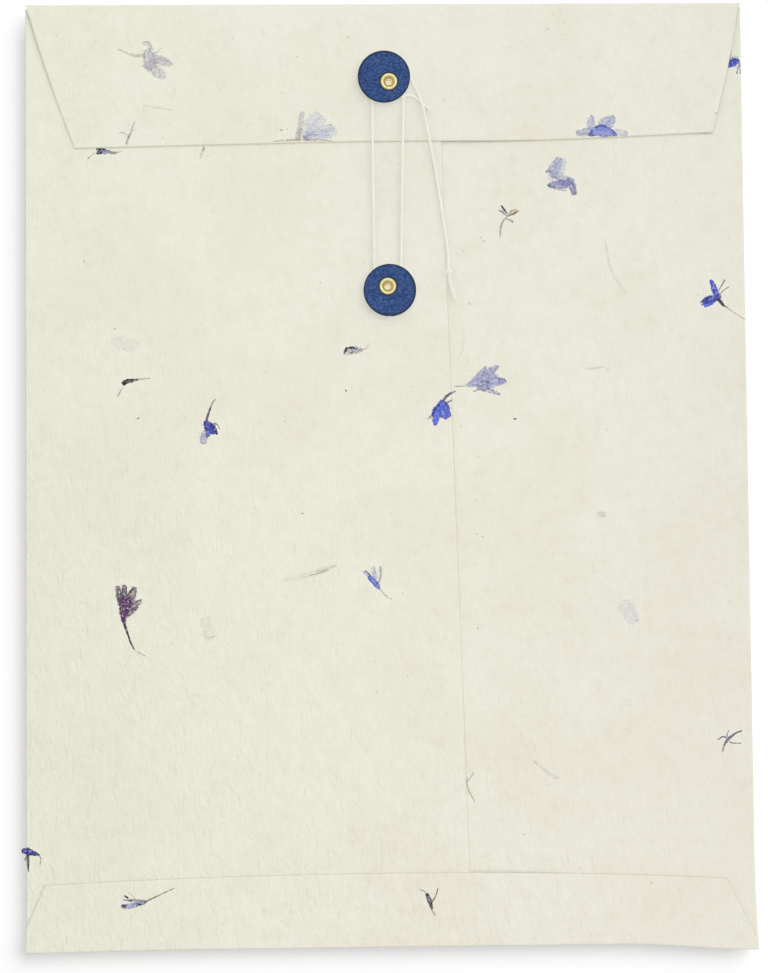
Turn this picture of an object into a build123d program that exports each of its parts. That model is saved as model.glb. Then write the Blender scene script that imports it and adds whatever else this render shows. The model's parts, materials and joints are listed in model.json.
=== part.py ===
"""A string tie envelope of handmade paper, lying flat with its flap side up, in millimetres.

The sheet is divided at its creases into named pieces. X runs across the envelope,
Y points to the top fold and Z points up from the face that it lies on.
"""
from build123d import *
from math import asin, atan2, cos, degrees, pi, radians, sin, tan
import os

os.makedirs("parts", exist_ok=True)

# The pocket and its sheet
envelope_width = 250.0
envelope_length = 326.5
paper = 0.45
pocket_depth = 5.4
fold_run = 14.0
glue_film = 0.08
glue_margin = 1.5
crease_gap = 0.1
mouth_gap = 0.3
fold_end_gap = 1.2
panel_gap = 0.05

# The centre seam, where the left panel lies on the tucked margin of the right one
seam_top_x = 18.3
seam_bottom_x = 27.6
seam_gap = 0.15
seam_overlap = 13.0
tuck_ramp = 2.0

# The bottom flap, glued over both panels
bottom_flap_side_height = 22.5
bottom_flap_crown_height = 25.2
bottom_flap_crown_x = 26.6
bottom_left_inset = 6.4
bottom_right_inset = 9.8
bottom_left_shoulder_inset = 1.3
bottom_right_shoulder_inset = 1.0
bottom_left_shoulder_height = 8.5
bottom_right_shoulder_height = 3.6

# The closure flap, which slants in from the top corners
flap_lift = 0.55
flap_depth_left = 50.3
flap_depth_right = 45.8
flap_inset_left = 17.0
flap_inset_right = 10.5
flap_shoulder_inset = 0.9
flap_shoulder_drop_left = 2.4
flap_shoulder_drop_right = 4.4
flap_tip_radius = 1.6

# The two card buttons on their eyelets
upper_eyelet_x = 1.4
upper_eyelet_drop = 27.9
lower_eyelet_x = 0.4
eyelet_spacing = 71.4
disc_radius = 9.0
disc_thickness = 0.8
disc_edge_radius = 0.12
upper_disc_shift_x = -1.7
upper_disc_shift_y = 1.75
lower_disc_shift_x = 0.7
lower_disc_shift_y = -1.35
spacer_radius = 4.0
spacer_thickness = 1.5
eyelet_bore_radius = 1.35
eyelet_wall = 0.3
flange_radius = 2.95
flange_thickness = 0.38
flange_round = 0.28
roll_radius = 2.6
roll_thickness = 0.35
roll_round = 0.14
turn_gap = 0.05
seat_gap = 0.05

# The cotton string and its knots
cord = 0.95
cord_clearance = 0.1
cord_lift = 0.72
winding_step = 1.4
widening_radius = 8.8
widening_turn = 66.0
edge_overshoot = 1.6
level_run = 6.5
knot_bore_gap = 0.03
anchor_knot_length = 2.84
anchor_knot_width = 2.2
anchor_knot_height = 1.34
anchor_knot_round = 0.3
tail_knot_length = 2.3
tail_knot_radius = 1.05
tail_knot_end_radius = 0.7
tail_first_run = 2.2
gap_samples_per_cord = 3

# Share of the shorter run that each rounded corner of a cord's route takes up
corner_share = 0.45

# Turns, in degrees
full_turn = 360.0
half_turn = full_turn / 2
quarter_turn = full_turn / 4

# Levels and edges that the pieces have in common
side = envelope_width / 2
top = envelope_length / 2
panel_bottom = paper + pocket_depth
panel_top = panel_bottom + paper
bottom_flap_level = panel_top + glue_film
bottom_crest = bottom_flap_level + paper
flap_bottom = panel_top + flap_lift
flap_top = flap_bottom + paper
tuck_top = panel_bottom - glue_film
tuck_bottom = tuck_top - paper
upper_eyelet = Vector(upper_eyelet_x, top - upper_eyelet_drop)
lower_eyelet = Vector(lower_eyelet_x, upper_eyelet.Y - eyelet_spacing)
barrel_radius = eyelet_bore_radius + eyelet_wall
paper_hole_radius = barrel_radius + seat_gap


def write(shape, node):
    """Write one piece to its own file."""
    export_step(shape, f"parts/{node}.step")


def prism(points, direction):
    """Extrude a flat outline along a vector."""
    reach = Vector(direction)
    outline = make_face(Polyline(*points, close=True))
    return extrude(outline, amount=reach.length, dir=reach.normalized())


def plate(points, bottom, thickness):
    """A level sheet with the given outline."""
    return prism([(x, y, bottom) for x, y in points], (0, 0, thickness))


def post(centre, radius, bottom, height):
    """An upright cylinder that starts at a level."""
    base = Plane((centre.X, centre.Y, bottom)) * Circle(radius)
    return extrude(base, amount=height, dir=(0, 0, 1))


# Creased margins: each section is given as distance in from the crease, and height
def margin_lip(crest):
    """Width of the level strip along the top of a creased margin."""
    return 2 * paper * fold_run / crest


def margin_section(crest):
    """A margin that rises from the front face to its crease."""
    lip = margin_lip(crest)
    return [(fold_run, 0), (0, crest), (lip, crest), (lip, crest - paper), (fold_run, paper)]


side_lip = margin_lip(panel_top)
bottom_lip = margin_lip(bottom_crest)
inner_rise = (bottom_crest - 2 * paper) / (fold_run - bottom_lip)
tuck_rise = tuck_bottom - paper
panel_bottom_y = -top + fold_run - tuck_rise / inner_rise + panel_gap
panel_top_y = top - fold_run + tuck_rise * fold_run / flap_top - mouth_gap


def seam_x(y):
    """Where the centre seam is at a height on the envelope."""
    along = (top - y) / envelope_length
    return seam_top_x + along * (seam_bottom_x - seam_top_x)


# Front face, which the envelope lies on
front_top_y = top - fold_run - crease_gap
front_side = side - fold_run
front_bottom_y = -top + fold_run
front_outline = [
    (-front_side, front_bottom_y),
    (front_side, front_bottom_y),
    (front_side, front_top_y),
    (-front_side, front_top_y),
]
write(plate(front_outline, 0, paper), "front_panel")


# Side folds, mitred into the bottom fold and clear of the top one
def side_fold(way):
    """The margin along one side, way -1 for the left and 1 for the right."""
    section = [(way * (side - inward), -top, z) for inward, z in margin_section(panel_top)]
    mitre = [
        (way * side, -top),
        (way * side, top - fold_end_gap),
        (way * front_side, front_top_y),
        (way * front_side, front_bottom_y),
    ]
    return prism(section, (0, envelope_length, 0)) & plate(mitre, 0, flap_top)


write(side_fold(-1), "left_fold")
write(side_fold(1), "right_fold")

# Bottom fold, which carries the bottom flap
bottom_section = [(-side, -top + inward, z) for inward, z in margin_section(bottom_crest)]
bottom_mitre = [
    (-side, -top),
    (side, -top),
    (front_side, front_bottom_y),
    (-front_side, front_bottom_y),
]
bottom_fold = prism(bottom_section, (envelope_width, 0, 0)) & plate(bottom_mitre, 0, flap_top)
write(bottom_fold, "bottom_fold")

# Left back panel, with the lower button's hole
left_outline = [
    (-side + side_lip, panel_bottom_y),
    (seam_x(panel_bottom_y), panel_bottom_y),
    (seam_x(panel_top_y), panel_top_y),
    (-side + side_lip, panel_top_y),
]
left_panel = plate(left_outline, panel_bottom, paper)
left_panel -= post(lower_eyelet, paper_hole_radius, 0, flap_top)
write(left_panel, "left_side_panel")

# Right back panel, whose margin steps down and tucks under the left one
tuck_x = seam_x(panel_bottom_y) + seam_gap
right_section = [
    (envelope_width, panel_top),
    (tuck_x + tuck_ramp, panel_top),
    (tuck_x, tuck_top),
    (tuck_x - seam_overlap, tuck_top),
    (tuck_x - seam_overlap, tuck_bottom),
    (tuck_x, tuck_bottom),
    (tuck_x + tuck_ramp, panel_bottom),
    (envelope_width, panel_bottom),
]
seam_run = (seam_x(panel_top_y) - seam_x(panel_bottom_y), panel_top_y - panel_bottom_y, 0)
right_reach = [
    (-side, panel_bottom_y),
    (side - side_lip, panel_bottom_y),
    (side - side_lip, panel_top_y),
    (-side, panel_top_y),
]
right_panel = prism([(x, panel_bottom_y, z) for x, z in right_section], seam_run)
right_panel = right_panel & plate(right_reach, 0, flap_top)
write(right_panel, "right_side_panel")

# Film of paste in the centre seam
seam_film_outline = [
    (seam_x(panel_bottom_y) - seam_overlap + glue_margin, panel_bottom_y + glue_margin),
    (seam_x(panel_bottom_y) - glue_margin, panel_bottom_y + glue_margin),
    (seam_x(panel_top_y) - glue_margin, panel_top_y - glue_margin),
    (seam_x(panel_top_y) - seam_overlap + glue_margin, panel_top_y - glue_margin),
]
write(plate(seam_film_outline, tuck_top, glue_film), "centre_seam_glue")


# Bottom flap with its bowed edge, and the film of paste under it
def bottom_flap_face(inset, level):
    """The flap's outline, drawn in by an inset on every edge but the crease's."""
    base_y = -top + bottom_lip + inset
    left_shoulder = (-side + bottom_left_shoulder_inset + inset, -top + bottom_left_shoulder_height, level)
    right_shoulder = (side - bottom_right_shoulder_inset - inset, -top + bottom_right_shoulder_height, level)
    left_tip = (-side + bottom_left_inset + inset, -top + bottom_flap_side_height - inset, level)
    right_tip = (side - bottom_right_inset - inset, -top + bottom_flap_side_height - inset, level)
    crown = (bottom_flap_crown_x, -top + bottom_flap_crown_height - inset, level)
    left_base = (-side + bottom_lip + inset, base_y, level)
    right_base = (side - bottom_lip - inset, base_y, level)
    around = Polyline(left_tip, left_shoulder, left_base, right_base, right_shoulder, right_tip)
    return make_face(Wire(around.edges() + [ThreePointArc(right_tip, crown, left_tip)]))


bottom_flap = extrude(bottom_flap_face(0, bottom_flap_level), amount=paper, dir=(0, 0, 1))
write(bottom_flap, "bottom_flap")
bottom_film = extrude(bottom_flap_face(glue_margin, panel_top), amount=glue_film, dir=(0, 0, 1))
write(bottom_film, "bottom_flap_glue")

# Top fold, the strip between the front face and the closure flap
bevel = paper * fold_run / flap_top
top_section = [(fold_run, 0), (bevel, flap_bottom), (2 * bevel, flap_bottom), (fold_run, paper)]
top_mitre = [
    (-front_side, top - fold_run),
    (front_side, top - fold_run),
    (side, top),
    (-side, top),
]
top_fold = prism([(-side, top - inward, z) for inward, z in top_section], (envelope_width, 0, 0))
write(top_fold & plate(top_mitre, 0, flap_top), "top_fold")

# Closure flap, bevelled at its crease and holed for the upper eyelet
flap_outline = [
    (-side, top),
    (-side + flap_shoulder_inset, top - flap_shoulder_drop_left),
    (-side + flap_inset_left, top - flap_depth_left),
    (side - flap_inset_right, top - flap_depth_right),
    (side - flap_shoulder_inset, top - flap_shoulder_drop_right),
    (side, top),
]
closure_flap = plate(flap_outline, flap_bottom, paper)
flap_tips = closure_flap.edges().filter_by(Axis.Z).sort_by(Axis.Y)[:2]
closure_flap = fillet(flap_tips, flap_tip_radius)
crease_wedge = [(-side, top, flap_top), (-side, top, flap_bottom), (-side, top - bevel, flap_bottom)]
closure_flap -= prism(crease_wedge, (envelope_width, 0, 0))
closure_flap -= post(upper_eyelet, paper_hole_radius, 0, flap_top + paper)
write(closure_flap, "closure_flap")


# Buttons: a spacer on the paper, a card disc that turns on it, and a rolled eyelet
def spacer(centre, seat):
    """The small card washer that the string winds round."""
    return post(centre, spacer_radius, seat, spacer_thickness) - post(
        centre, paper_hole_radius, seat, spacer_thickness
    )


def disc(centre, shift_x, shift_y, seat):
    """The card disc, free to turn and set off centre on its eyelet."""
    bottom = seat + spacer_thickness + turn_gap
    blank = post(centre + Vector(shift_x, shift_y), disc_radius, bottom, disc_thickness)
    blank = fillet(blank.edges().filter_by(GeomType.CIRCLE), disc_edge_radius)
    return blank - post(centre, barrel_radius + turn_gap, bottom, disc_thickness)


def eyelet(centre, seat):
    """A barrel with a round flange over the disc and a rolled end under the paper."""
    flange_bottom = seat + spacer_thickness + disc_thickness + 2 * turn_gap
    flange_top = flange_bottom + flange_thickness
    roll_top = seat - paper
    roll_bottom = roll_top - roll_thickness
    profile = [
        (eyelet_bore_radius, 0, roll_bottom),
        (eyelet_bore_radius, 0, flange_top),
        (flange_radius, 0, flange_top),
        (flange_radius, 0, flange_bottom),
        (barrel_radius, 0, flange_bottom),
        (barrel_radius, 0, roll_top),
        (roll_radius, 0, roll_top),
        (roll_radius, 0, roll_bottom),
    ]
    rounds = [roll_round, flange_round, flange_round, 0, 0, 0, roll_round, roll_round]
    ring = revolve(make_face(FilletPolyline(*profile, radius=rounds, close=True)), Axis.Z)
    return Pos(centre.X, centre.Y, 0) * ring


write(spacer(upper_eyelet, flap_top), "upper_spacer")
write(spacer(lower_eyelet, panel_top), "lower_spacer")
write(disc(upper_eyelet, upper_disc_shift_x, upper_disc_shift_y, flap_top), "upper_button")
write(disc(lower_eyelet, lower_disc_shift_x, lower_disc_shift_y, panel_top), "lower_button")
write(eyelet(upper_eyelet, flap_top), "upper_eyelet")
write(eyelet(lower_eyelet, panel_top), "lower_eyelet")


# The string: arcs round the spacers, taut runs between them and a loose tail
def round_point(centre, radius, angle, level):
    """A point on a level circle, at an angle in degrees."""
    turn = radians(angle)
    return Vector(centre.X + radius * cos(turn), centre.Y + radius * sin(turn), level)


def turns(centre, radius, start, end, level, count):
    """Tangent arcs of equal turn round a spacer, from one angle to another."""
    step = (end - start) / count
    arcs = []
    for place in range(count):
        angles = [start + step * (place + part / 2) for part in range(3)]
        arcs.append(ThreePointArc(*[round_point(centre, radius, a, level) for a in angles]))
    return arcs


def corner_radii(points):
    """The largest radius that the two runs at each corner leave room for."""
    radii = []
    for before, corner, after in zip(points, points[1:], points[2:]):
        arriving = Vector(corner) - Vector(before)
        leaving = Vector(after) - Vector(corner)
        half_bend = radians(arriving.get_angle(leaving)) / 2
        radii.append(corner_share * min(arriving.length, leaving.length) / tan(half_bend))
    return radii


def rounded_route(points):
    """Straight runs joined by tangent arcs."""
    return FilletPolyline(*points, radius=corner_radii(points))


def tube(edges, name):
    """A cord swept along joined edges, with its volume set against section times length."""
    path = Wire(edges)
    section = Plane(origin=path @ 0, z_dir=path % 0) * Circle(cord / 2)
    solid = sweep(section, path=path)
    expected = pi * (cord / 2) ** 2 * path.length
    ratio = solid.volume / expected
    print(f"{name}: length {path.length:.2f} mm, volume over section times length {ratio:.4f}")
    return solid


def least_gap(edges):
    """The least clear gap of a wound cord to itself, measured on points."""
    path = Wire(edges)
    count = int(gap_samples_per_cord * path.length / cord)
    points = [path @ (place / count) for place in range(count + 1)]
    apart = int(pi * loop_radius / 2 * count / path.length)
    nearest = [
        (points[first] - points[second]).length
        for first in range(count + 1)
        for second in range(first + apart, count + 1)
    ]
    return min(nearest) - cord


upper_cord_level = flap_top + cord_lift
lower_cord_level = panel_top + cord_lift
loop_radius = spacer_radius + cord_clearance + cord / 2
outer_radius = loop_radius + winding_step
down = (lower_eyelet - upper_eyelet).normalized()
right_angle = degrees(atan2(down.Y, down.X)) + quarter_turn
run_spread = degrees(asin(winding_step / (lower_eyelet - upper_eyelet).length))
left_angle = right_angle + half_turn + run_spread

# The taut runs stay level over the flap, then slope to the lower button
flap_edge_y = top - (flap_depth_left + flap_depth_right) / 2 - edge_overshoot


def taut_run(upper_point, lower_point):
    """One straight stretch, bent a little over the flap's free edge."""
    span = lower_point - upper_point
    edge_part = (upper_point.Y - flap_edge_y) / -span.Y
    level_part = 1 - level_run / -span.Y
    over_edge = upper_point + span * edge_part
    near_button = upper_point + span * level_part
    over_edge.Z = upper_point.Z
    near_button.Z = lower_point.Z
    return [upper_point, over_edge, near_button, lower_point]


right_run = taut_run(
    round_point(upper_eyelet, loop_radius, right_angle, upper_cord_level),
    round_point(lower_eyelet, loop_radius, right_angle, lower_cord_level),
)
left_run = taut_run(
    round_point(upper_eyelet, outer_radius, left_angle, upper_cord_level),
    round_point(lower_eyelet, loop_radius, left_angle, lower_cord_level),
)

# The winding starts at the anchor knot, and every turn of it is clockwise
knot_centre = Vector(upper_eyelet.X + loop_radius, upper_eyelet.Y - loop_radius, upper_cord_level)
loop_start = round_point(upper_eyelet, loop_radius, -quarter_turn, upper_cord_level)
lead_start = knot_centre - Vector(anchor_knot_length / 2, 0, 0)
crown_point = round_point(upper_eyelet, outer_radius, quarter_turn, upper_cord_level)
widening_centre = crown_point - Vector(0, widening_radius, 0)
leave_angle = quarter_turn - widening_turn
leave_point = round_point(widening_centre, widening_radius, leave_angle, upper_cord_level)
leave_way = Vector(cos(radians(widening_turn)), -sin(radians(widening_turn)), 0)
tail_start = leave_point + leave_way * cord

winding_edges = [Line(lead_start, loop_start)]
winding_edges += turns(upper_eyelet, loop_radius, -quarter_turn, right_angle - full_turn, upper_cord_level, 3)
winding_edges += rounded_route(right_run).edges()
winding_edges += turns(lower_eyelet, loop_radius, right_angle, left_angle - full_turn, lower_cord_level, 2)
winding_edges += rounded_route(left_run[::-1]).edges()
winding_edges += turns(upper_eyelet, outer_radius, left_angle, quarter_turn, upper_cord_level, 1)
winding_edges += turns(widening_centre, widening_radius, quarter_turn, leave_angle, upper_cord_level, 1)
winding_edges += [Line(leave_point, tail_start)]
write(tube(winding_edges, "string_winding"), "string_winding")
print(f"string_winding: radii {loop_radius:.2f}, {outer_radius:.2f} and {widening_radius:.2f} mm")
print(f"string_winding: least gap to itself {least_gap(winding_edges):.2f} mm")

# The loose tail: x and y from the upper eyelet, and lift above the flap or the panel
tail_over_flap = [
    (10.6, -5.0, 0.82),
    (11.3, -7.1, 1.68),
    (11.8, -9.1, 1.71),
    (12.5, -12.4, 0.64),
    (13.5, -17.2, 0.56),
    (14.4, -22.6, 0.57),
]
tail_to_knot = [
    (15.5, -28.1, 0.55),
    (16.7, -35.8, 0.53),
    (17.8, -43.8, 0.54),
    (19.0, -51.3, 0.53),
    (19.7, -56.7, 0.55),
    (20.05, -60.9, 0.75),
    (20.1, -64.1, 1.12),
]
tail_past_knot = [
    (20.3, -68.3, 1.12),
    (21.1, -71.7, 0.58),
    (21.8, -74.3, 0.53),
    (22.5, -76.4, 0.54),
]
anchor_tail_over_flap = [
    (7.6, -4.575, 0.72),
    (9.5, -5.5, 0.58),
    (11.2, -7.1, 0.53),
    (12.9, -8.8, 0.54),
    (14.1, -9.7, 0.53),
]


def on_surface(points, level):
    """Route points placed from the upper eyelet, over a surface."""
    return [Vector(upper_eyelet.X + x, upper_eyelet.Y + y, level + lift) for x, y, lift in points]


before_knot = on_surface(tail_to_knot, panel_top)
past_knot = on_surface(tail_past_knot, panel_top)
tail_route = [tail_start, tail_start + leave_way * tail_first_run]
tail_route += on_surface(tail_over_flap, flap_top)
tail_route += before_knot + past_knot
print("string_tail: radii", [round(radius, 1) for radius in corner_radii(tail_route)])
write(tube(rounded_route(tail_route).edges(), "string_tail"), "string_tail")

anchor_route = [knot_centre + Vector(anchor_knot_length / 2, 0, 0)]
anchor_route += on_surface(anchor_tail_over_flap, flap_top)
print("string_anchor_tail: radii", [round(radius, 1) for radius in corner_radii(anchor_route)])
write(tube(rounded_route(anchor_route).edges(), "string_anchor_tail"), "string_anchor_tail")

# The anchor knot, a flat hitch round the right run
knot_box = Pos(*knot_centre) * Box(anchor_knot_length, anchor_knot_width, anchor_knot_height)
knot_box = fillet(knot_box.edges(), anchor_knot_round)
bore_radius = cord / 2 + knot_bore_gap
run_way = (right_run[1] - right_run[0]).normalized()
run_start = right_run[0] + run_way * ((right_run[0].Y - knot_centre.Y) - anchor_knot_width)
knot_bore = Plane(origin=run_start, z_dir=run_way) * Circle(bore_radius)
write(knot_box - extrude(knot_bore, amount=2 * anchor_knot_width, dir=run_way), "anchor_knot")

# The tail knot, a round knot that the tail runs through
knot_start = before_knot[-1]
knot_end = past_knot[0]
knot_plane = Plane(origin=(knot_start + knot_end) * (1 / 2), z_dir=knot_end - knot_start)
half_knot = tail_knot_length / 2
knot_outline = Polyline(
    (tail_knot_end_radius, 0, -half_knot),
    (bore_radius, 0, -half_knot),
    (bore_radius, 0, half_knot),
    (tail_knot_end_radius, 0, half_knot),
)
knot_bulge = ThreePointArc(
    (tail_knot_end_radius, 0, half_knot),
    (tail_knot_radius, 0, 0),
    (tail_knot_end_radius, 0, -half_knot),
)
tail_knot = revolve(make_face(Wire(knot_outline.edges() + [knot_bulge])), Axis.Z)
write(knot_plane.location * tail_knot, "tail_knot")
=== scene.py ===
"""A string tie envelope of handmade petal paper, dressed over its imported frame."""
import json
from math import asin, atan2, cos, exp, hypot, pi, radians, sin, sqrt

import bmesh
import bpy
from bpy.props import FloatProperty, FloatVectorProperty, IntProperty, PointerProperty
from bpy.types import Operator, Panel, PropertyGroup
from mathutils import Matrix, Vector, noise
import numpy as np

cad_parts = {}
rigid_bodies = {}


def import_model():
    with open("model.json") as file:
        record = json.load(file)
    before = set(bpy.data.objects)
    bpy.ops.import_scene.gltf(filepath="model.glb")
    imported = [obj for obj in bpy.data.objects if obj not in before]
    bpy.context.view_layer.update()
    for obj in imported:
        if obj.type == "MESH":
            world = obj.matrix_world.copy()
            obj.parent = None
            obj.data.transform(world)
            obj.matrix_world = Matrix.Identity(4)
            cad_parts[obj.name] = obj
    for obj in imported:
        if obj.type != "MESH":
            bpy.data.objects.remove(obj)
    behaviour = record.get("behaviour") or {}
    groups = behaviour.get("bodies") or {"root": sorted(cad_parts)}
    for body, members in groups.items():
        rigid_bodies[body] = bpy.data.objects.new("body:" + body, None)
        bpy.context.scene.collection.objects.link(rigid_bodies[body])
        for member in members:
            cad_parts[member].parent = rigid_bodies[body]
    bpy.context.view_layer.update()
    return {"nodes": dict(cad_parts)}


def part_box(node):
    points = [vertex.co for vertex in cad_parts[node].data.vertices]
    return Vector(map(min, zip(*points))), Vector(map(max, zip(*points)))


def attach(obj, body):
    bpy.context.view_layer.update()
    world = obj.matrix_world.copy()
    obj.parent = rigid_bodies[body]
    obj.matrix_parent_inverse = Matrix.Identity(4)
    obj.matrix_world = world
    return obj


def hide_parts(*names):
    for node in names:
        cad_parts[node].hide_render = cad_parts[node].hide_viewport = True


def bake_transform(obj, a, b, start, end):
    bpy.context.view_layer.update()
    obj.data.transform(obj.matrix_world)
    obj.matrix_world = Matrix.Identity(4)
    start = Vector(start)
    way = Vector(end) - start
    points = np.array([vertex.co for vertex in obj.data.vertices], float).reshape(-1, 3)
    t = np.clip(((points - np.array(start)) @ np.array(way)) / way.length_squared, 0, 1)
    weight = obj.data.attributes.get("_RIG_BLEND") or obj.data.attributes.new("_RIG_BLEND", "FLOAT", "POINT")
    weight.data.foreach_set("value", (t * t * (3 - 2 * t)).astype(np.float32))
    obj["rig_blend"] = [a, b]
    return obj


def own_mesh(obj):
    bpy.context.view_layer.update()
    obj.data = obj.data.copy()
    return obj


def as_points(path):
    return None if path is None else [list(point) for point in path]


bl_info = {
    "name": "String Tie Envelope",
    "version": (1, 0, 0),
    "blender": (4, 5, 0),
    "location": "View3D > Sidebar > Envelope",
    "description": "Builds a string tie envelope of petal paper over its packed frame",
    "category": "Add Mesh",
}

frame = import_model()

MM = 0.001
FULL_TURN = 2 * pi
QUARTER_TURN = pi / 2
UP = Vector((0, 0, 1))


def node_box(node):
    """The lowest and highest corner of a node, in millimetres."""
    low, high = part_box(node)
    return Vector(low) / MM, Vector(high) / MM


# Levels and edges of the frame, in millimetres
FRONT_LOW, FRONT_HIGH = node_box("front_panel")
LEFT_LOW, LEFT_HIGH = node_box("left_side_panel")
FLAP_LOW, FLAP_HIGH = node_box("closure_flap")
SIDE = FLAP_HIGH.x
TOP = FLAP_HIGH.y
PAPER = FRONT_HIGH.z - FRONT_LOW.z
PANEL_TOP = LEFT_HIGH.z
FLAP_TOP = FLAP_HIGH.z
BOTTOM_FLAP_TOP = node_box("bottom_flap")[1].z
FOLD_RUN = SIDE - FRONT_HIGH.x
MOUTH = LEFT_HIGH.y
FOLD_END = node_box("left_fold")[1].y
GLUE_LOW, GLUE_HIGH = node_box("bottom_flap_glue")
GLUE_FILM = GLUE_HIGH.z - GLUE_LOW.z
TUCK_TOP = PANEL_TOP - PAPER - GLUE_FILM


def node_centre(node):
    """The middle of a node seen from above, in millimetres."""
    low, high = node_box(node)
    return Vector(((low.x + high.x) / 2, (low.y + high.y) / 2, 0))


UPPER = node_centre("upper_eyelet")
LOWER = node_centre("lower_eyelet")

# The closure flap, in millimetres
FLAP_SHOULDER_DROP = 2.4
FLAP_SHOULDER_INSET = 0.9
FLAP_LEFT_INSET = 17.0
FLAP_LEFT_DEPTH = 50.3
FLAP_RIGHT_INSET = 10.5
FLAP_RIGHT_DEPTH = 45.8
FLAP_LEFT_TIP = Vector((-SIDE + FLAP_LEFT_INSET, TOP - FLAP_LEFT_DEPTH, 0))
FLAP_RIGHT_TIP = Vector((SIDE - FLAP_RIGHT_INSET, TOP - FLAP_RIGHT_DEPTH, 0))
FLAP_SIDE_BOW = 0.55
FLAP_SAG = 1.1
FLAP_SAG_X = 55.0
FLAP_SAG_REACH = 42.0
FLAP_TIP_SHARE = 0.1
FLAP_DROOP = 0.5
FLAP_DROOP_RUN = 19.0
FLAP_SIDE_RUN = 16.0
FLAP_LEFT_DROOP_SHARE = 0.95
FLAP_RIGHT_LIFT = 0.3
FLAP_EASE_START = 4.0
FLAP_EASE_END = 40.0
FLAP_RELIEF_SHARE = 0.6
FLAP_RELIEF_SHIFT = 3.0
FLAP_BEND_LEAN = -0.25
FLAP_BEND_HALF = 0.3

# The seam and the ends of the back panels, in millimetres
SEAM_TOP_X = 18.3
SEAM_LEAN = 9.3
SEAM_OVERLAP = 13.0
SEAM_STEP_RUN = 0.3
SEAM_EASE = 46.0
SEAM_CLEARANCE = 0.01
CORNER_INSET = 1.3
CORNER_RUN = 6.0
MITRE_GAP = 0.8

# The bottom flap and the lower corners that stick out, in millimetres
BOTTOM_SIDE_HEIGHT = 22.5
BOTTOM_CROWN_HEIGHT = 25.2
BOTTOM_LEFT_INSET = 6.4
BOTTOM_RIGHT_INSET = 9.8
BOTTOM_LEFT_START_SHARE = 0.36
BOTTOM_RIGHT_START_SHARE = 0.14
BOTTOM_RELIEF_SHARE = 0.5
RIGHT_FLARE = 2.4
RIGHT_FLARE_RUN = 46.0
LEFT_FLARE = 0.6
LEFT_FLARE_RUN = 60.0
FLARE_HEIGHT = 30.0
FLARE_OUT_SHARE = 0.3

# Creases, cut edges and holes, in millimetres
CREASE_RADIUS = 0.4
CREASE_STEPS = 5
TOP_CREASE_STEPS = 6
MARGIN_BULGE = 0.22
EDGE_STEPS = (0.15, 0.32, 0.6, 1.0)
EDGE_DROP = 0.1
EDGE_DROP_RUN = EDGE_STEPS[2]
NO_EDGE = 9.0
HOLE_RADIUS = 2.0
WELD_GAP = 0.0005
SHARP_RIM = radians(40)
SOFT_RIM = radians(80)

# Waves and crinkles of the paper, in millimetres. They are calm in a box round the string
CALM_LOW = Vector((-9, 54, 0))
CALM_HIGH = Vector((26, 146, 0))
CALM_FADE = 28.0
CALM_SHARE = 0.2
CREASE_CALM_START = 0.5
CREASE_CALM_END = 9.0
WAVE_SPAN = 78.0
SWELL_SPAN = 31.0
SWELL_SHARE = 0.5
SWELL_LAYER = UP
CRINKLE_SPAN = 17.0
CRINKLE_STEEPNESS = 2.4
CRINKLE_LAYER = UP * 5
PUCKER_SPAN = 6.0
PUCKER_SHARE = 0.8
PUCKER_LAYER = UP * 9
CRINKLE_LEAST_SHARE = 0.6
CRINKLE_GAIN_SHARE = 1.3
CRINKLE_GAIN_START = -20.0
CRINKLE_GAIN_END = 230.0

# Names of the values stored on the meshes
PLACE = "sheet_place"
EDGE = "edge_clear"
TINT = "petal_tint"
PETAL_WAY = "petal_way"
PETAL_RIM = "petal_rim"
DISC_REACH = "disc_reach"
RING_REACH = "ring_reach"


def srgb(red, green, blue):
    """A colour given in screen levels of 0 to 255, as linear light."""
    levels = (red / 255, green / 255, blue / 255)
    return tuple(c / 12.92 if c <= 0.04045 else ((c + 0.055) / 1.055) ** 2.4 for c in levels)


def opaque(colour):
    """A colour with full alpha."""
    return (*tuple(colour)[:3], 1.0)


# Settings that a user would change
def colour_setting(name, description, default):
    """A colour in a group of settings."""
    return FloatVectorProperty(
        name=name, description=description, subtype="COLOR", default=default, min=0, max=1)


def length_setting(name, description, default):
    """A length in a group of settings, with its default in millimetres."""
    return FloatProperty(
        name=name, description=description, default=default * MM, unit="LENGTH", precision=6)


def share_setting(name, description, default, highest=1.0):
    """A share in a group of settings."""
    return FloatProperty(
        name=name, description=description, default=default, min=0, max=highest, subtype="FACTOR")


def angle_setting(name, description, default):
    """An angle in a group of settings."""
    return FloatProperty(name=name, description=description, default=default, subtype="ANGLE")


class PaperSettings(PropertyGroup):
    """The handmade paper."""

    cream: colour_setting("Cream", "Colour of the paper", srgb(235, 234, 218))
    warm: colour_setting("Warm pulp", "Colour of the warmer clouds in the pulp", srgb(231, 228, 210))
    fibre: colour_setting("Fibre", "Colour of the fine fibres in the pulp", srgb(205, 198, 172))
    wave_height: length_setting("Wave height", "Height of the broad waves of the sheets", 0.14)
    crinkle_height: length_setting("Crinkle height", "Height of the small crinkles of the sheets", 0.05)
    grid_step: length_setting("Grid step", "Spacing of the mesh over a level sheet", 1.4)


class ButtonSettings(PropertyGroup):
    """The card buttons and their brass eyelets."""

    blue: colour_setting("Blue", "Colour of the card discs", srgb(36, 60, 108))
    pale_blue: colour_setting("Pale blue", "Colour of the paler fibres in the card", srgb(86, 112, 164))
    brass: colour_setting("Brass", "Colour of the eyelets", srgb(174, 171, 130))
    dish: length_setting("Dish", "How far a disc is drawn down at its eyelet", 0.07)
    sides: IntProperty(
        name="Sides", description="Steps round a disc or an eyelet", default=72, min=24, max=180)


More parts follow.
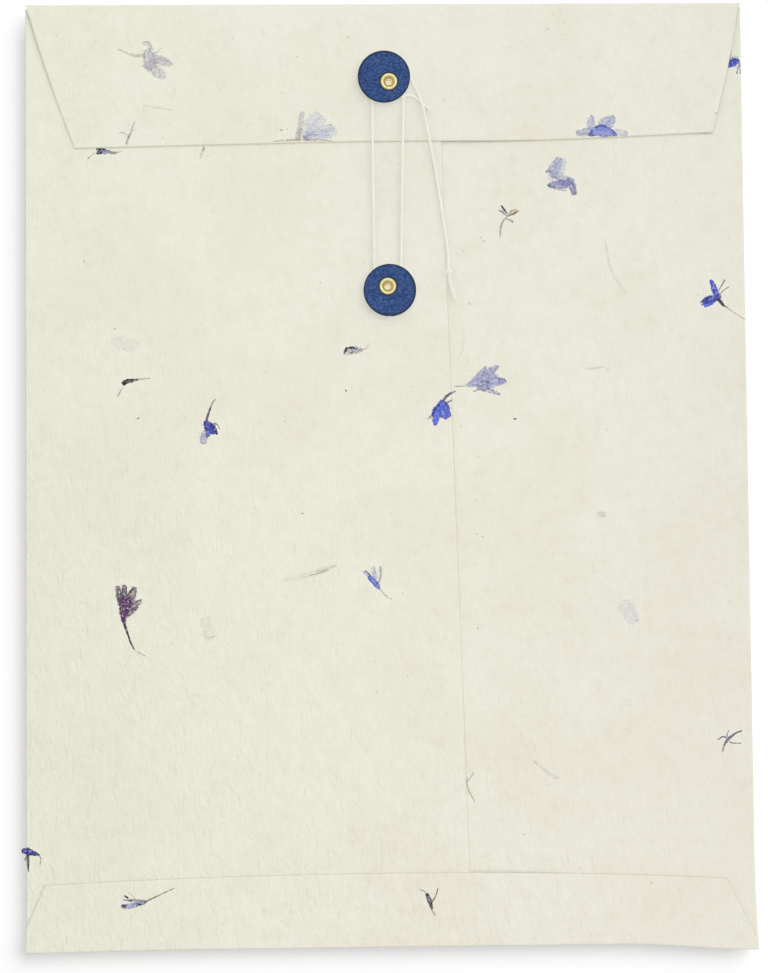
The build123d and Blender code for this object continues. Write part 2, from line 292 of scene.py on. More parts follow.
class StringSettings(PropertyGroup):
    """The cotton string."""

    cotton: colour_setting("Cotton", "Colour of the string", srgb(247, 246, 236))
    diameter: length_setting("Diameter", "Thickness of the string over its plies", 0.95)
    lay_length: length_setting("Lay length", "Length of one full twist of the plies", 2.6)
    plies: IntProperty(name="Plies", description="Number of twisted plies", default=3, min=2, max=5)


class PetalSettings(PropertyGroup):
    """The pressed petals and loose fibres."""

    step: length_setting("Drawing step", "Size of one step of the petal drawings", 0.347)
    lift: length_setting("Lift", "Height of a petal above the paper", 0.03)
    strength: share_setting("Strength", "Factor on the opacity of all petals", 1.0, highest=2.0)


class StageSettings(PropertyGroup):
    """The floor, the light and the view."""

    sun_level: share_setting("Sun level", "Share of a level face's light from the soft sun", 0.25)
    sun_width: angle_setting("Sun width", "Angle across the soft sun", radians(84))
    floor_sun_level: share_setting(
        "Floor sun level", "Share of the floor's light that the object shades", 0.42)
    floor_sun_width: angle_setting("Floor sun width", "Angle across the sun on the floor", radians(52))
    dome_level: share_setting("Dome level", "Share of a level face's light from the sky dome", 0.67)
    string_shade: share_setting("String shade", "Share of the dome that the string shades", 0.3)
    sky: share_setting("Sky", "Light from all round", 0.08)
    floor_grey: share_setting("Floor grey", "How much of the floor's light shows as shading", 1.0)


SETTINGS = {
    "envelope_paper": PaperSettings,
    "envelope_button": ButtonSettings,
    "envelope_string": StringSettings,
    "envelope_petal": PetalSettings,
    "envelope_stage": StageSettings,
}


def settings_of(name):
    """One group of settings of the current scene."""
    return getattr(bpy.context.scene, name)


# Shader expressions
class Shade:
    """An output socket in a node tree. Arithmetic on it adds Math nodes."""

    def __init__(self, tree, socket=None):
        self.tree = tree
        self.socket = socket

    def node(self, kind, settings=None, sockets=None, output=0):
        """Add a node: its settings first, then the values or links of its sockets."""
        node = self.tree.nodes.new(kind)
        for name, value in (settings or {}).items():
            setattr(node, name, value)
        for key, value in (sockets or {}).items():
            if isinstance(value, Shade):
                self.tree.links.new(value.socket, node.inputs[key])
            else:
                node.inputs[key].default_value = value
        return Shade(self.tree, node.outputs[output] if node.outputs else None)

    def math(self, operation, *values, clamp=False):
        """A Math node on values and sockets."""
        settings = {"operation": operation, "use_clamp": clamp}
        return self.node("ShaderNodeMath", settings, dict(enumerate(values)))

    def __add__(self, other):
        return self.math("ADD", self, other)

    def __radd__(self, other):
        return self.math("ADD", other, self)

    def __sub__(self, other):
        return self.math("SUBTRACT", self, other)

    def __rsub__(self, other):
        return self.math("SUBTRACT", other, self)

    def __mul__(self, other):
        return self.math("MULTIPLY", self, other)

    def __rmul__(self, other):
        return self.math("MULTIPLY", other, self)

    def __truediv__(self, other):
        return self.math("DIVIDE", self, other)

    def __abs__(self):
        return self.math("ABSOLUTE", self)

    def clamped(self):
        """This value, held between 0 and 1."""
        return self.math("ADD", self, 0.0, clamp=True)

    def between(self, low, high):
        """A smooth share from 0 at low to 1 at high."""
        settings = {"interpolation_type": "SMOOTHSTEP"}
        sockets = {"Value": self, "From Min": low, "From Max": high}
        return self.node("ShaderNodeMapRange", settings, sockets)

    def mix(self, first, second):
        """A colour between two, by this share."""
        settings = {"data_type": "RGBA"}
        return self.node("ShaderNodeMix", settings, {0: self, 6: first, 7: second}, output=2)

    def noise(self, span, detail=2.0, roughness=0.5, distortion=0.0):
        """Cloudy noise over this place, with features about one span across."""
        sockets = {
            "Vector": self, "Scale": 1 / span, "Detail": detail,
            "Roughness": roughness, "Distortion": distortion,
        }
        return self.node("ShaderNodeTexNoise", {}, sockets)

    def moved(self, shift):
        """This place, moved by a fixed vector."""
        return self.node("ShaderNodeVectorMath", {"operation": "ADD"}, {0: self, 1: shift})

    def stretched(self, factors):
        """This place, scaled by a fixed vector."""
        return self.node("ShaderNodeVectorMath", {"operation": "MULTIPLY"}, {0: self, 1: factors})

    def bump(self, height, distance):
        """A surface normal from a height, whose one unit is the distance, in millimetres."""
        sockets = {"Height": height, "Distance": distance * MM}
        return self.node("ShaderNodeBump", {}, sockets)

    def attribute(self, name, output="Fac"):
        """A value stored on the mesh."""
        return self.node("ShaderNodeAttribute", {"attribute_name": name}, {}, output)


def new_finish(name):
    """A material with an empty node tree, and the start of its expressions."""
    material = bpy.data.materials.new(name)
    material.use_nodes = True
    material.node_tree.nodes.clear()
    return material, Shade(material.node_tree)


def surface(shade, **sockets):
    """The main shader of a finish, joined to the output."""
    sockets = {name.replace("_", " "): value for name, value in sockets.items()}
    shader = shade.node("ShaderNodeBsdfPrincipled", {}, sockets)
    shade.node("ShaderNodeOutputMaterial", {}, {"Surface": shader})


def object_place(shade):
    """Object coordinates, in millimetres."""
    place = shade.node("ShaderNodeTexCoord", {}, {}, output="Object")
    return place.stretched((1 / MM, 1 / MM, 1 / MM))


def along(place, way):
    """How far a place lies along a way."""
    return place.node(
        "ShaderNodeVectorMath", {"operation": "DOT_PRODUCT"}, {0: place, 1: way}, output="Value")


# Finishes. Spans, depths and bands are in millimetres
CLOUD_SPAN = 38.0
PULP_SPAN = 5.0
GRAIN_SPAN = 0.9
PULP_FIBRE_SPANS = (9.0, 13.0, 7.0)
PULP_FIBRE_WIDTH_SHARE = 0.006
PULP_FIBRE_PATCH_SPAN = 3.4
SPECK_SPAN = 1.3
SPECK_PATCH_SPAN = 23.0
RIDGE_SPAN = 3.2
RIDGE_TURN = radians(-14)
TOOTH_DEPTH = 0.09
SPECK_BROWN = srgb(150, 138, 112)
CUT_EDGE_AND_GAP_SHADOW = srgb(184, 177, 154)
EDGE_BAND = (0.08, 0.4)


def pulp_fibres(place):
    """Thin curved lines of single fibres in the pulp, shown in patches."""
    lines = []
    for turn, span in enumerate(PULP_FIBRE_SPANS):
        field = place.moved((31.0 * turn, 17.0 * turn, 7.0 * turn))
        off_line = abs(field.noise(span, 2.0, 0.55, 0.8) - 0.5) / PULP_FIBRE_WIDTH_SHARE
        shown = field.noise(PULP_FIBRE_PATCH_SPAN, 1.0).between(0.56, 0.66)
        lines.append((1 - off_line.clamped()) * shown)
    return sum(lines)


def drifting_hue(place, colour):
    """The slow drift of a sheet's hue towards its corners, and painted shade that darkens it towards its
    sides.
    """
    upper_left = along(place, (-1, 1, 0))
    cool = 1 - along(place, (-1, -1, 0)).between(-260, 180)
    green = upper_left.between(60, 280)
    pink = 1 - upper_left.between(-260, 0)
    # Painted shade: the sheet darkens towards its sides, where less light falls.
    painted_side_shade = abs(along(place, (1, 0, 0))).between(50, 130) * (1 - 0.7 * green)
    drifts = (
        (cool, (0.998, 0.998, 1.028)), (green, (0.992, 1.016, 1.008)),
        (pink, (1.004, 0.99, 1.018)), (painted_side_shade, (0.978, 0.977, 0.971)),
    )
    for share, factors in drifts:
        colour = share.mix(colour, colour.stretched(factors))
    return colour


def paper_finish():
    """Cream handmade paper: clouds of pulp, fine fibres, specks, a soft tooth, and darker cut edges with
    painted shadow of the gap under them.
    """
    settings = settings_of("envelope_paper")
    material, shade = new_finish("handmade_paper")
    place = shade.attribute(PLACE, "Vector")
    pulp = place.noise(PULP_SPAN, 4.0, 0.65)
    grain = place.noise(GRAIN_SPAN, 2.0)
    fibres = pulp_fibres(place)
    warm = 0.5 * place.noise(CLOUD_SPAN, 3.0).between(0.4, 0.66) + 0.6 * pulp.between(0.42, 0.7)
    colour = warm.clamped().mix(opaque(settings.cream), opaque(settings.warm))
    colour = (fibres.clamped() * 0.3).mix(colour, opaque(settings.fibre))
    speck = place.noise(SPECK_SPAN, 0.0).between(0.82, 0.86)
    speck = speck * place.noise(SPECK_PATCH_SPAN, 1.0).between(0.53, 0.66)
    colour = (speck * 0.42).mix(colour, opaque(SPECK_BROWN))
    # A darker band along the cut edges: partly the darker cut edge of the paper, partly painted shadow of
    # the gap under the edge.
    off_edge = shade.attribute(EDGE).between(*EDGE_BAND)
    colour = (0.42 * (1 - off_edge)).mix(colour, opaque(CUT_EDGE_AND_GAP_SHADOW))
    colour = drifting_hue(place, colour)
    sockets = {"Vector": place, "Rotation": (0, 0, RIDGE_TURN), "Scale": (1.0, 0.42, 1.0)}
    drawn = place.node("ShaderNodeMapping", {}, sockets)
    ridge = 1 - (abs(drawn.noise(RIDGE_SPAN, 3.0, 0.6, 0.5) - 0.5) / 0.16).clamped()
    rough_part = 0.6 + 1.35 * along(place, (-1, -1, 0)).between(-60, 220)
    height = (ridge + pulp * 1.2) * rough_part + grain * 0.12 + fibres * 0.25
    surface(
        shade, Base_Color=colour, Roughness=0.92 - 0.06 * grain, Specular_IOR_Level=0.18,
        Normal=shade.bump(height, TOOTH_DEPTH))
    return material


PASTE_PATCH_SPAN = 3.0
PASTE_DEPTH = 0.03
PALE_PASTE = srgb(228, 222, 198)
DARK_PASTE = srgb(214, 205, 174)


def paste_finish():
    """Dried paste, slightly yellow."""
    material, shade = new_finish("dry_paste")
    patch = object_place(shade).noise(PASTE_PATCH_SPAN, 3.0)
    colour = patch.between(0.35, 0.65).mix(opaque(PALE_PASTE), opaque(DARK_PASTE))
    surface(
        shade, Base_Color=colour, Roughness=0.55 + 0.2 * patch, Specular_IOR_Level=0.35,
        Normal=shade.bump(patch, PASTE_DEPTH))
    return material


FELT_SPAN = 0.9
HAIR_SPAN = 0.7
RUB_SPAN = 5.0
CARD_DEPTH = 0.035
PLAIN_CARD = srgb(168, 150, 120)
PALE_PLAIN_CARD = srgb(206, 190, 160)
CARD_EDGE_AND_SHADE = srgb(44, 50, 58)
RIM_EDGE_AND_SHADE_SHARES = (0.89, 0.95)
ON_DISC_BAND = (0.5, 1.0)
EYELET_SHADOW_BAND = (3.15, 3.6)


def card_finish(name, dark, pale):
    """Pressed card: short flat fibres and a dull rubbed face, darker at a disc's cut rim with painted shade
    of the rounded rim, and a painted shadow round the eyelet.
    """
    material, shade = new_finish(name)
    place = object_place(shade)
    felt = place.stretched((1.0, 1.9, 1.0)).noise(FELT_SPAN, 4.0, 0.65, 0.6)
    hair = place.stretched((2.1, 0.8, 1.0)).moved((5.0, 3.0, 0.0)).noise(HAIR_SPAN, 3.0, 0.6, 1.2)
    rubbed = place.noise(RUB_SPAN, 2.0)
    share = 0.75 * felt.between(0.35, 0.72) + 0.42 * hair.between(0.45, 0.7) + 0.25 * rubbed - 0.22
    colour = share.clamped().mix(opaque(dark), opaque(pale))
    # Painted shadow in a ring round the eyelet, where the disc meets it.
    near = shade.attribute(RING_REACH)
    eyelet_shadow = near.between(*ON_DISC_BAND) * (1 - near.between(*EYELET_SHADOW_BAND))
    # The disc's cut rim is darker, with painted shade of its rounded rim on top, mixed in with the painted
    # shadow round the eyelet.
    edge_and_shade = 0.8 * shade.attribute(DISC_REACH).between(*RIM_EDGE_AND_SHADE_SHARES) + 0.9 * eyelet_shadow
    colour = edge_and_shade.clamped().mix(colour, opaque(CARD_EDGE_AND_SHADE))
    surface(
        shade, Base_Color=colour, Roughness=0.9 - 0.08 * rubbed, Specular_IOR_Level=0.1,
        Normal=shade.bump(felt + 0.5 * hair, CARD_DEPTH))
    return material


def blue_card_finish():
    """The blue card of the discs."""
    settings = settings_of("envelope_button")
    return card_finish("blue_card", settings.blue, settings.pale_blue)


def plain_card_finish():
    """The undyed card of the spacers."""
    return card_finish("plain_card", PLAIN_CARD, PALE_PLAIN_CARD)


DULL_SPAN = 1.1
SCRATCH_SPAN = 0.5
SCRATCH_DEPTH = 0.004
DULL_BRASS = srgb(176, 154, 92)
PAINTED_GROOVE_SHADE = srgb(132, 118, 64)
PAINTED_BORE_LIGHT = srgb(240, 219, 182)
GROOVE_START_BAND = (1.25, 1.5)
GROOVE_END_BAND = (1.75, 2.05)
FLANGE_RIM_BAND = (2.55, 2.85)
BORE_BAND = (1.12, 1.36)


def brass_finish():
    """Stamped brass, lightly dulled and scratched, with painted shade in its groove and at its rim and
    painted light inside its bore.
    """
    settings = settings_of("envelope_button")
    material, shade = new_finish("brass")
    place = object_place(shade)
    dull = place.noise(DULL_SPAN, 3.0)
    scratch = place.stretched((1.0, 6.0, 1.0)).noise(SCRATCH_SPAN, 2.0)
    colour = dull.between(0.42, 0.72).mix(opaque(settings.brass), opaque(DULL_BRASS))
    reach = shade.attribute(RING_REACH)
    # Painted shade in the groove and at the outer rim of the flange.
    groove = reach.between(*GROOVE_START_BAND) * (1 - reach.between(*GROOVE_END_BAND))
    outside = reach.between(*FLANGE_RIM_BAND)
    colour = (0.75 * (groove + outside).clamped()).mix(colour, opaque(PAINTED_GROOVE_SHADE))
    # Painted light inside the bore, pale like lit paper below the hole, with less metal.
    inside = 1 - reach.between(*BORE_BAND)
    colour = (0.9 * inside).mix(colour, opaque(PAINTED_BORE_LIGHT))
    surface(
        shade, Base_Color=colour, Metallic=1 - 0.7 * inside, Roughness=0.24 + 0.22 * dull,
        Normal=shade.bump(scratch, SCRATCH_DEPTH))
    return material


FUZZ_SPAN = 0.16
FUZZ_DEPTH = 0.06
TONE_SPAN = 2.2
GREY_COTTON = srgb(243, 239, 223)
WARM_COTTON = srgb(246, 240, 220)


def cotton_finish():
    """Cotton with a fine fuzz, greyer and warmer in places."""
    settings = settings_of("envelope_string")
    material, shade = new_finish("cotton_string")
    place = object_place(shade)
    fuzz = place.noise(FUZZ_SPAN, 3.0, 0.6)
    tone = place.noise(TONE_SPAN, 2.0)
    colour = fuzz.between(0.3, 0.75).mix(opaque(GREY_COTTON), opaque(settings.cotton))
    colour = (0.35 * tone.between(0.5, 0.75)).mix(colour, opaque(WARM_COTTON))
    surface(
        shade, Base_Color=colour, Roughness=0.9, Specular_IOR_Level=0.15,
        Normal=shade.bump(fuzz, FUZZ_DEPTH))
    return material


STREAK_SPAN = 1.0
FLECK_SPAN = 0.8
MOTTLE_SPAN = 0.6
PETAL_DEPTH = 0.02
PALE_PETAL = srgb(216, 220, 237)
VEIN_TINT_FACTORS = (0.26, 0.26, 0.38)


def petal_finish():
    """Pressed petals: a tint that thins out at ragged rims, with darker veins along it."""
    material, shade = new_finish("pressed_petals")
    tint = shade.attribute(TINT, "Color")
    cover = shade.attribute(TINT, "Alpha")
    rim = shade.attribute(PETAL_RIM)
    way = shade.attribute(PETAL_WAY, "Vector")
    streak = way.stretched((0.45, 1.4, 1.0)).noise(STREAK_SPAN, 3.0, 0.6, 0.3)
    vein = 1 - (abs(streak - 0.5) / 0.045).clamped()
    place = object_place(shade)
    fleck = place.noise(FLECK_SPAN, 3.0, 0.6)
    mottle = place.moved((7.0, 3.0, 0.0)).noise(MOTTLE_SPAN, 2.0, 0.6).between(0.54, 0.68)
    edge = rim + 0.5 * (fleck - 0.5) + 0.45 * (streak - 0.5)
    body = 1 - edge.between(0.5, 1.0)
    thin = 0.74 + 0.5 * streak.between(0.42, 0.6) - 0.4 * fleck.between(0.5, 0.7)
    pale = fleck.between(0.48, 0.66) * (1 - 0.55 * cover)
    colour = (0.75 * pale).mix(tint, opaque(PALE_PETAL))
    lines = 0.6 * vein + 0.65 * rim.between(0.3, 0.7) + 0.6 * mottle
    lines = (lines * (0.3 + 0.6 * cover)).clamped()
    colour = lines.mix(colour, tint.stretched(VEIN_TINT_FACTORS))
    alpha = cover * body * (thin + 0.5 * vein + 0.4 * mottle)
    surface(
        shade, Base_Color=colour, Roughness=0.85, Specular_IOR_Level=0.12, Alpha=alpha.clamped(),
        Normal=shade.bump(streak + 0.5 * fleck, PETAL_DEPTH))
    return material


FINISH_MAKERS = {
    "handmade_paper": paper_finish,
    "dry_paste": paste_finish,
    "blue_card": blue_card_finish,
    "plain_card": plain_card_finish,
    "brass": brass_finish,
    "cotton_string": cotton_finish,
    "pressed_petals": petal_finish,
}
FINISHES = {}


def finish(name):
    """A finish, made once."""
    if name not in FINISHES:
        FINISHES[name] = FINISH_MAKERS[name]()
    return FINISHES[name]


# Mesh helpers
def smooth_share(value, low, high):
    """A smooth share from 0 at low to 1 at high."""
    share = min(1.0, max(0.0, (value - low) / (high - low)))
    return share * share * (3 - 2 * share)


def spread(first, last, step):
    """Evenly spaced values from first to last, about one step apart."""
    count = max(1, round(abs(last - first) / step))
    return [first + (last - first) * place / count for place in range(count + 1)]


def edged_shares(width, step, first=True, last=True):
    """Shares from 0 to 1 about one step apart, with finer ones at the cut edges."""
    fine = [reach / width for reach in EDGE_STEPS]
    shares = set(spread(0, 1, step / width))
    if first:
        shares = {share for share in shares if share == 0 or share > fine[-1]} | set(fine)
    if last:
        shares = {share for share in shares if share == 1 or share < 1 - fine[-1]}
        shares |= {1 - share for share in fine}
    return sorted(shares)


def lay_grid(bm, columns, rows, place, mark):
    """Lay a grid so that each point goes where place(column, row) says, and mark it."""
    grid = bmesh.ops.create_grid(bm, x_segments=len(columns) - 1, y_segments=len(rows) - 1, size=0.5)
    for vert in grid["verts"]:
        column = columns[round((vert.co.x + 0.5) * (len(columns) - 1))]
        row = rows[round((vert.co.y + 0.5) * (len(rows) - 1))]
        vert.co = place(column, row)
        mark(vert, column, row)


def new_piece(name, bm, material, sharp_angle=SHARP_RIM):
    """An object from a bmesh in millimetres, smooth except at sharp rims."""
    bmesh.ops.scale(bm, vec=(MM, MM, MM), verts=bm.verts)
    mesh = bpy.data.meshes.new(name)
    bm.to_mesh(mesh)
    bm.free()
    mesh.shade_smooth()
    mesh.set_sharp_from_angle(angle=sharp_angle)
    mesh.materials.append(finish(material))
    piece = bpy.data.objects.new(name, mesh)
    bpy.context.collection.objects.link(piece)
    return piece


def open_hole(bm, centre):
    """Open a sheet at an eyelet, with the rim of the hole under the eyelet's flange."""
    middle = centre.to_2d()
    inside = {vert for vert in bm.verts if (vert.co.to_2d() - middle).length < HOLE_RADIUS}
    opened = {face for vert in inside for face in vert.link_faces}
    for vert in {vert for face in opened for vert in face.verts} - inside:
        vert.co.xy = middle + (vert.co.to_2d() - middle).normalized() * HOLE_RADIUS
    bmesh.ops.delete(bm, geom=list(inside), context="VERTS")


def flared(x, y):
    """A place on a sheet, drawn out where the lower corners stick out a little."""
    reach, run = (RIGHT_FLARE, RIGHT_FLARE_RUN) if x > 0 else (LEFT_FLARE, LEFT_FLARE_RUN)
    low = smooth_share(-y, TOP - FLARE_HEIGHT, TOP)
    pull = reach * low * smooth_share(abs(x), SIDE - run, SIDE)
    out = FLARE_OUT_SHARE * pull if x > 0 else 0.0
    return x + out, y - pull


def paper_sheet(name, columns, rows, place, outside_down=False, hole=None):
    """A sheet laid on its outer face by place(column, row), then thickened inward."""
    bm = bmesh.new()
    stored = bm.verts.layers.float_vector.new(PLACE)
    edge = bm.verts.layers.float.new(EDGE)

    def put(column, row):
        x, y, z, clear = place(column, row)
        x, y = flared(x, y)
        return x, y, z - EDGE_DROP * (1 - smooth_share(clear, 0, EDGE_DROP_RUN))

    def mark(vert, column, row):
        vert[stored] = vert.co
        vert[edge] = min(NO_EDGE, place(column, row)[3])

    lay_grid(bm, columns, rows, put, mark)
    if hole:
        open_hole(bm, hole)
    if outside_down:
        bmesh.ops.reverse_faces(bm, faces=bm.faces)
    bmesh.ops.solidify(bm, geom=bm.faces[:], thickness=PAPER)
    return new_piece(name, bm, "handmade_paper")


# Relief of the sheets, and the levels that the petals and the string lie on
def relief(x, y):
    """Waves and crinkles of the paper, calmer at the creases and under the string."""
    settings = settings_of("envelope_paper")
    place = Vector((x, y, 0))
    aside = hypot(max(CALM_LOW.x - x, 0, x - CALM_HIGH.x), max(CALM_LOW.y - y, 0, y - CALM_HIGH.y))
    calm = CALM_SHARE + (1 - CALM_SHARE) * smooth_share(aside, 0, CALM_FADE)
    calm *= smooth_share(min(SIDE - abs(x), TOP - abs(y)), CREASE_CALM_START, CREASE_CALM_END)
    lower_left = smooth_share(-x - y, CRINKLE_GAIN_START, CRINKLE_GAIN_END)
    wave = noise.noise(place / WAVE_SPAN)
    wave += SWELL_SHARE * noise.noise(place / SWELL_SPAN + SWELL_LAYER)
    crinkle = 1 - CRINKLE_STEEPNESS * abs(noise.noise(place / CRINKLE_SPAN + CRINKLE_LAYER))
    crinkle += PUCKER_SHARE * noise.noise(place / PUCKER_SPAN + PUCKER_LAYER)
    crinkle *= CRINKLE_LEAST_SHARE + CRINKLE_GAIN_SHARE * lower_left
    return calm * (settings.wave_height * wave + settings.crinkle_height * crinkle) / MM


def seam_x(y):
    """Where the left back panel's edge lies."""
    return SEAM_TOP_X + (TOP - y) / (2 * TOP) * SEAM_LEAN


def panel_level(x, y):
    """Height of the back panels."""
    past_seam = x - seam_x(y)
    if past_seam < 0:
        return PANEL_TOP + relief(x, y)
    dip = (PANEL_TOP - TUCK_TOP) * (1 - smooth_share(past_seam, SEAM_STEP_RUN, SEAM_EASE))
    return PANEL_TOP - dip + relief(x, y)


def flap_side(y, tip, sign):
    """Where a slanted side of the closure flap lies at a height."""
    shoulder_y = TOP - FLAP_SHOULDER_DROP
    shoulder_x = SIDE - FLAP_SHOULDER_INSET
    if y > shoulder_y:
        share = (TOP - y) / FLAP_SHOULDER_DROP
        return sign * (SIDE + (shoulder_x - SIDE) * share)
    share = (shoulder_y - y) / (shoulder_y - tip.y)
    bow = FLAP_SIDE_BOW * sin(pi * min(1, share))
    return sign * (shoulder_x + (abs(tip.x) - shoulder_x) * share + bow)


def flap_edge(x):
    """The free edge of the closure flap, which sags a little on its right."""
    share = (x - FLAP_LEFT_TIP.x) / (FLAP_RIGHT_TIP.x - FLAP_LEFT_TIP.x)
    line = FLAP_LEFT_TIP.y + share * (FLAP_RIGHT_TIP.y - FLAP_LEFT_TIP.y)
    sag = FLAP_SAG * exp(-((x - FLAP_SAG_X) / FLAP_SAG_REACH) ** 2)
    return line - sag * smooth_share(min(share, 1 - share), 0, FLAP_TIP_SHARE)


def flap_level(x, y):
    """Height of the closure flap, which droops on to the panels but stands off at its right."""
    drop = 1 - smooth_share(y - flap_edge(x), 0, FLAP_DROOP_RUN)
    below_crease = smooth_share(TOP - y, FLAP_EASE_START, FLAP_EASE_END)
    near_left = 1 - smooth_share(x - flap_side(y, FLAP_LEFT_TIP, -1), 0, FLAP_SIDE_RUN)
    near_right = 1 - smooth_share(flap_side(y, FLAP_RIGHT_TIP, 1) - x, 0, FLAP_SIDE_RUN)
    droop = FLAP_DROOP * max(drop, FLAP_LEFT_DROOP_SHARE * near_left * below_crease)
    lift = FLAP_RIGHT_LIFT * near_right * below_crease
    return FLAP_TOP - droop + lift + FLAP_RELIEF_SHARE * relief(x, y + FLAP_RELIEF_SHIFT)


def bottom_level(x, y):
    """Height of the bottom flap."""
    return BOTTOM_FLAP_TOP + BOTTOM_RELIEF_SHARE * relief(x, y)


# Creases and folded sheets
def crease_slope(crest):
    """The angle of a margin between its foot on the front panel and its crease."""
    run = FOLD_RUN - CREASE_RADIUS
    rise = crest - CREASE_RADIUS
    return atan2(rise, run) - asin(CREASE_RADIUS / hypot(run, rise))


def crease_arc(crest, first, last, steps):
    """Points of a crease as distance in from the edge and height, by the angle above level."""
    angles = [first + (last - first) * place / steps for place in range(steps + 1)]
    return [
        (CREASE_RADIUS * (1 - cos(angle)), crest - CREASE_RADIUS + CREASE_RADIUS * sin(angle))
        for angle in angles
    ]


def margin_section(crest, step):
    """A margin from its outermost point down to its foot, as distance in and height."""
    slope = crease_slope(crest)
    section = crease_arc(crest, 0, slope - QUARTER_TURN, CREASE_STEPS)
    start, level = section[-1]
    return section + [
        (start + (FOLD_RUN - start) * share, level * (1 - share) + MARGIN_BULGE * sin(pi * share))
        for share in spread(0, 1, step / FOLD_RUN)[1:]
    ]


def grid_step():
    """Spacing of the grid, in millimetres."""
    return settings_of("envelope_paper").grid_step / MM


def make_front_sheet():
    """The front panel with its left, right and bottom margins, one folded sheet."""
    step = grid_step()
    sides = margin_section(PANEL_TOP, step)
    foot = margin_section(BOTTOM_FLAP_TOP, step)
    middle = [(x, 0.0) for x in spread(-FRONT_HIGH.x, FRONT_HIGH.x, 2 * step)[1:-1]]
    columns = [(-SIDE + reach, level) for reach, level in sides] + middle
    columns += [(SIDE - reach, level) for reach, level in reversed(sides)]
    rows = [(-TOP + reach, level, 0.0) for reach, level in foot]
    straight_top = FRONT_HIGH.y - 2 * FOLD_RUN
    rows += [(y, 0.0, 0.0) for y in spread(-TOP + FOLD_RUN, straight_top, 2 * step)[1:]]
    rows += [(straight_top, 0.0, share) for share in spread(0, 1, step / (2 * FOLD_RUN))[1:]]

    def place(column, row):
        x, side_level = column
        y, foot_level, share = row
        reach = SIDE - abs(x)
        end = max(FRONT_HIGH.y, FOLD_END - reach * (FOLD_END - FRONT_HIGH.y) / FOLD_RUN)
        return x, y + share * (end - straight_top), max(side_level, foot_level), NO_EDGE

    sheet = paper_sheet("front_sheet", columns, rows, place, outside_down=True)
    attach(sheet, "pocket")
    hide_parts("front_panel", "left_fold", "right_fold", "bottom_fold")


def panel_y(x, y):
    """Draw the ends of a back panel out into the corners, where the margins are mitred."""
    end = MOUTH if y > 0 else LEFT_LOW.y
    inset = TOP - abs(end)
    corner_inset = min(inset, max(CORNER_INSET, SIDE - abs(x) + MITRE_GAP))
    share = max(0.0, (abs(y) - abs(end) + CORNER_RUN) / CORNER_RUN)
    return y + share * (inset - corner_inset) * (1 if y > 0 else -1)


def back_rows():
    """Rows of the back panels, from below the bottom flap to the mouth."""
    return spread(LEFT_LOW.y, MOUTH, grid_step())


def make_left_back_sheet():
    """The left back panel, which ends at the seam on top of the right one."""
    turned = crease_arc(PANEL_TOP, 0, QUARTER_TURN, CREASE_STEPS)
    shares = edged_shares(SIDE + SEAM_TOP_X, grid_step(), first=False)
    columns = turned + [(share, None) for share in shares[1:]]

    def place(column, row):
        share, level = column
        if level is not None:
            x = share - SIDE
            return x, panel_y(x, row), level, NO_EDGE
        start = -SIDE + CREASE_RADIUS
        seam = seam_x(row)
        x = start + share * (seam - start)
        return x, panel_y(x, row), panel_level(min(x, seam - SEAM_CLEARANCE), row), seam - x

    left = paper_sheet("left_back_sheet", columns, back_rows(), place)
    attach(left, "pocket")
    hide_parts("left_side_panel")


def make_right_back_sheet():
    """The right back panel, which is tucked under the left one at the seam."""
    step = grid_step()
    turned = crease_arc(PANEL_TOP, 0, QUARTER_TURN, CREASE_STEPS)
    columns = [(share, "tuck") for share in spread(0, 1, step / SEAM_OVERLAP)]
    columns += [(share, "ease") for share in edged_shares(SEAM_EASE, step, last=False)[1:]]
    columns += [(share, "open") for share in spread(0, 1, step / (SIDE - SEAM_TOP_X))[1:]]
    columns += [(pair, "crease") for pair in reversed(turned[:-1])]

    def place(column, row):
        share, zone = column
        seam = seam_x(row)
        if zone == "crease":
            return SIDE - share[0], panel_y(SIDE - share[0], row), share[1], NO_EDGE
        if zone == "tuck":
            x = seam - SEAM_OVERLAP * (1 - share)
            return x, row, TUCK_TOP + min(0.0, relief(x, row)), NO_EDGE
        if zone == "ease":
            x = seam + SEAM_EASE * share
        else:
            start = seam + SEAM_EASE
            x = start + share * (SIDE - CREASE_RADIUS - start)
        return x, panel_y(x, row), panel_level(x, row), NO_EDGE

    right = paper_sheet("right_back_sheet", columns, back_rows(), place)
    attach(right, "pocket")
    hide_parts("right_side_panel")


def past_start(share, start):
    """The share of a slant that begins past its start."""
    return max(0.0, (share - start) / (1 - start))


def make_bottom_flap():
    """The bottom flap, turned up over both back panels."""
    step = grid_step()
    columns = edged_shares(2 * SIDE, step)
    rows = [(pair, None) for pair in crease_arc(BOTTOM_FLAP_TOP, 0, QUARTER_TURN, CREASE_STEPS)]
    shares = edged_shares(BOTTOM_CROWN_HEIGHT, step, first=False)
    rows += [(None, share) for share in shares[1:]]

    def place(column, row):
        pair, share = row
        if pair:
            return -SIDE + 2 * SIDE * column, -TOP + pair[0], pair[1], NO_EDGE
        left = -SIDE + BOTTOM_LEFT_INSET * past_start(share, BOTTOM_LEFT_START_SHARE)
        right = SIDE - BOTTOM_RIGHT_INSET * past_start(share, BOTTOM_RIGHT_START_SHARE)
        x = left + column * (right - left)
        crown = 1 - (2 * column - 1) ** 2
        height = BOTTOM_SIDE_HEIGHT + (BOTTOM_CROWN_HEIGHT - BOTTOM_SIDE_HEIGHT) * crown
        y = -TOP + CREASE_RADIUS + share * (height - CREASE_RADIUS)
        clear = min(x - left, right - x, (1 - share) * height)
        return x, y, bottom_level(x, y), clear

    flap = paper_sheet("bottom_flap_sheet", columns, rows, place)
    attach(flap, "pocket")
    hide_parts("bottom_flap")


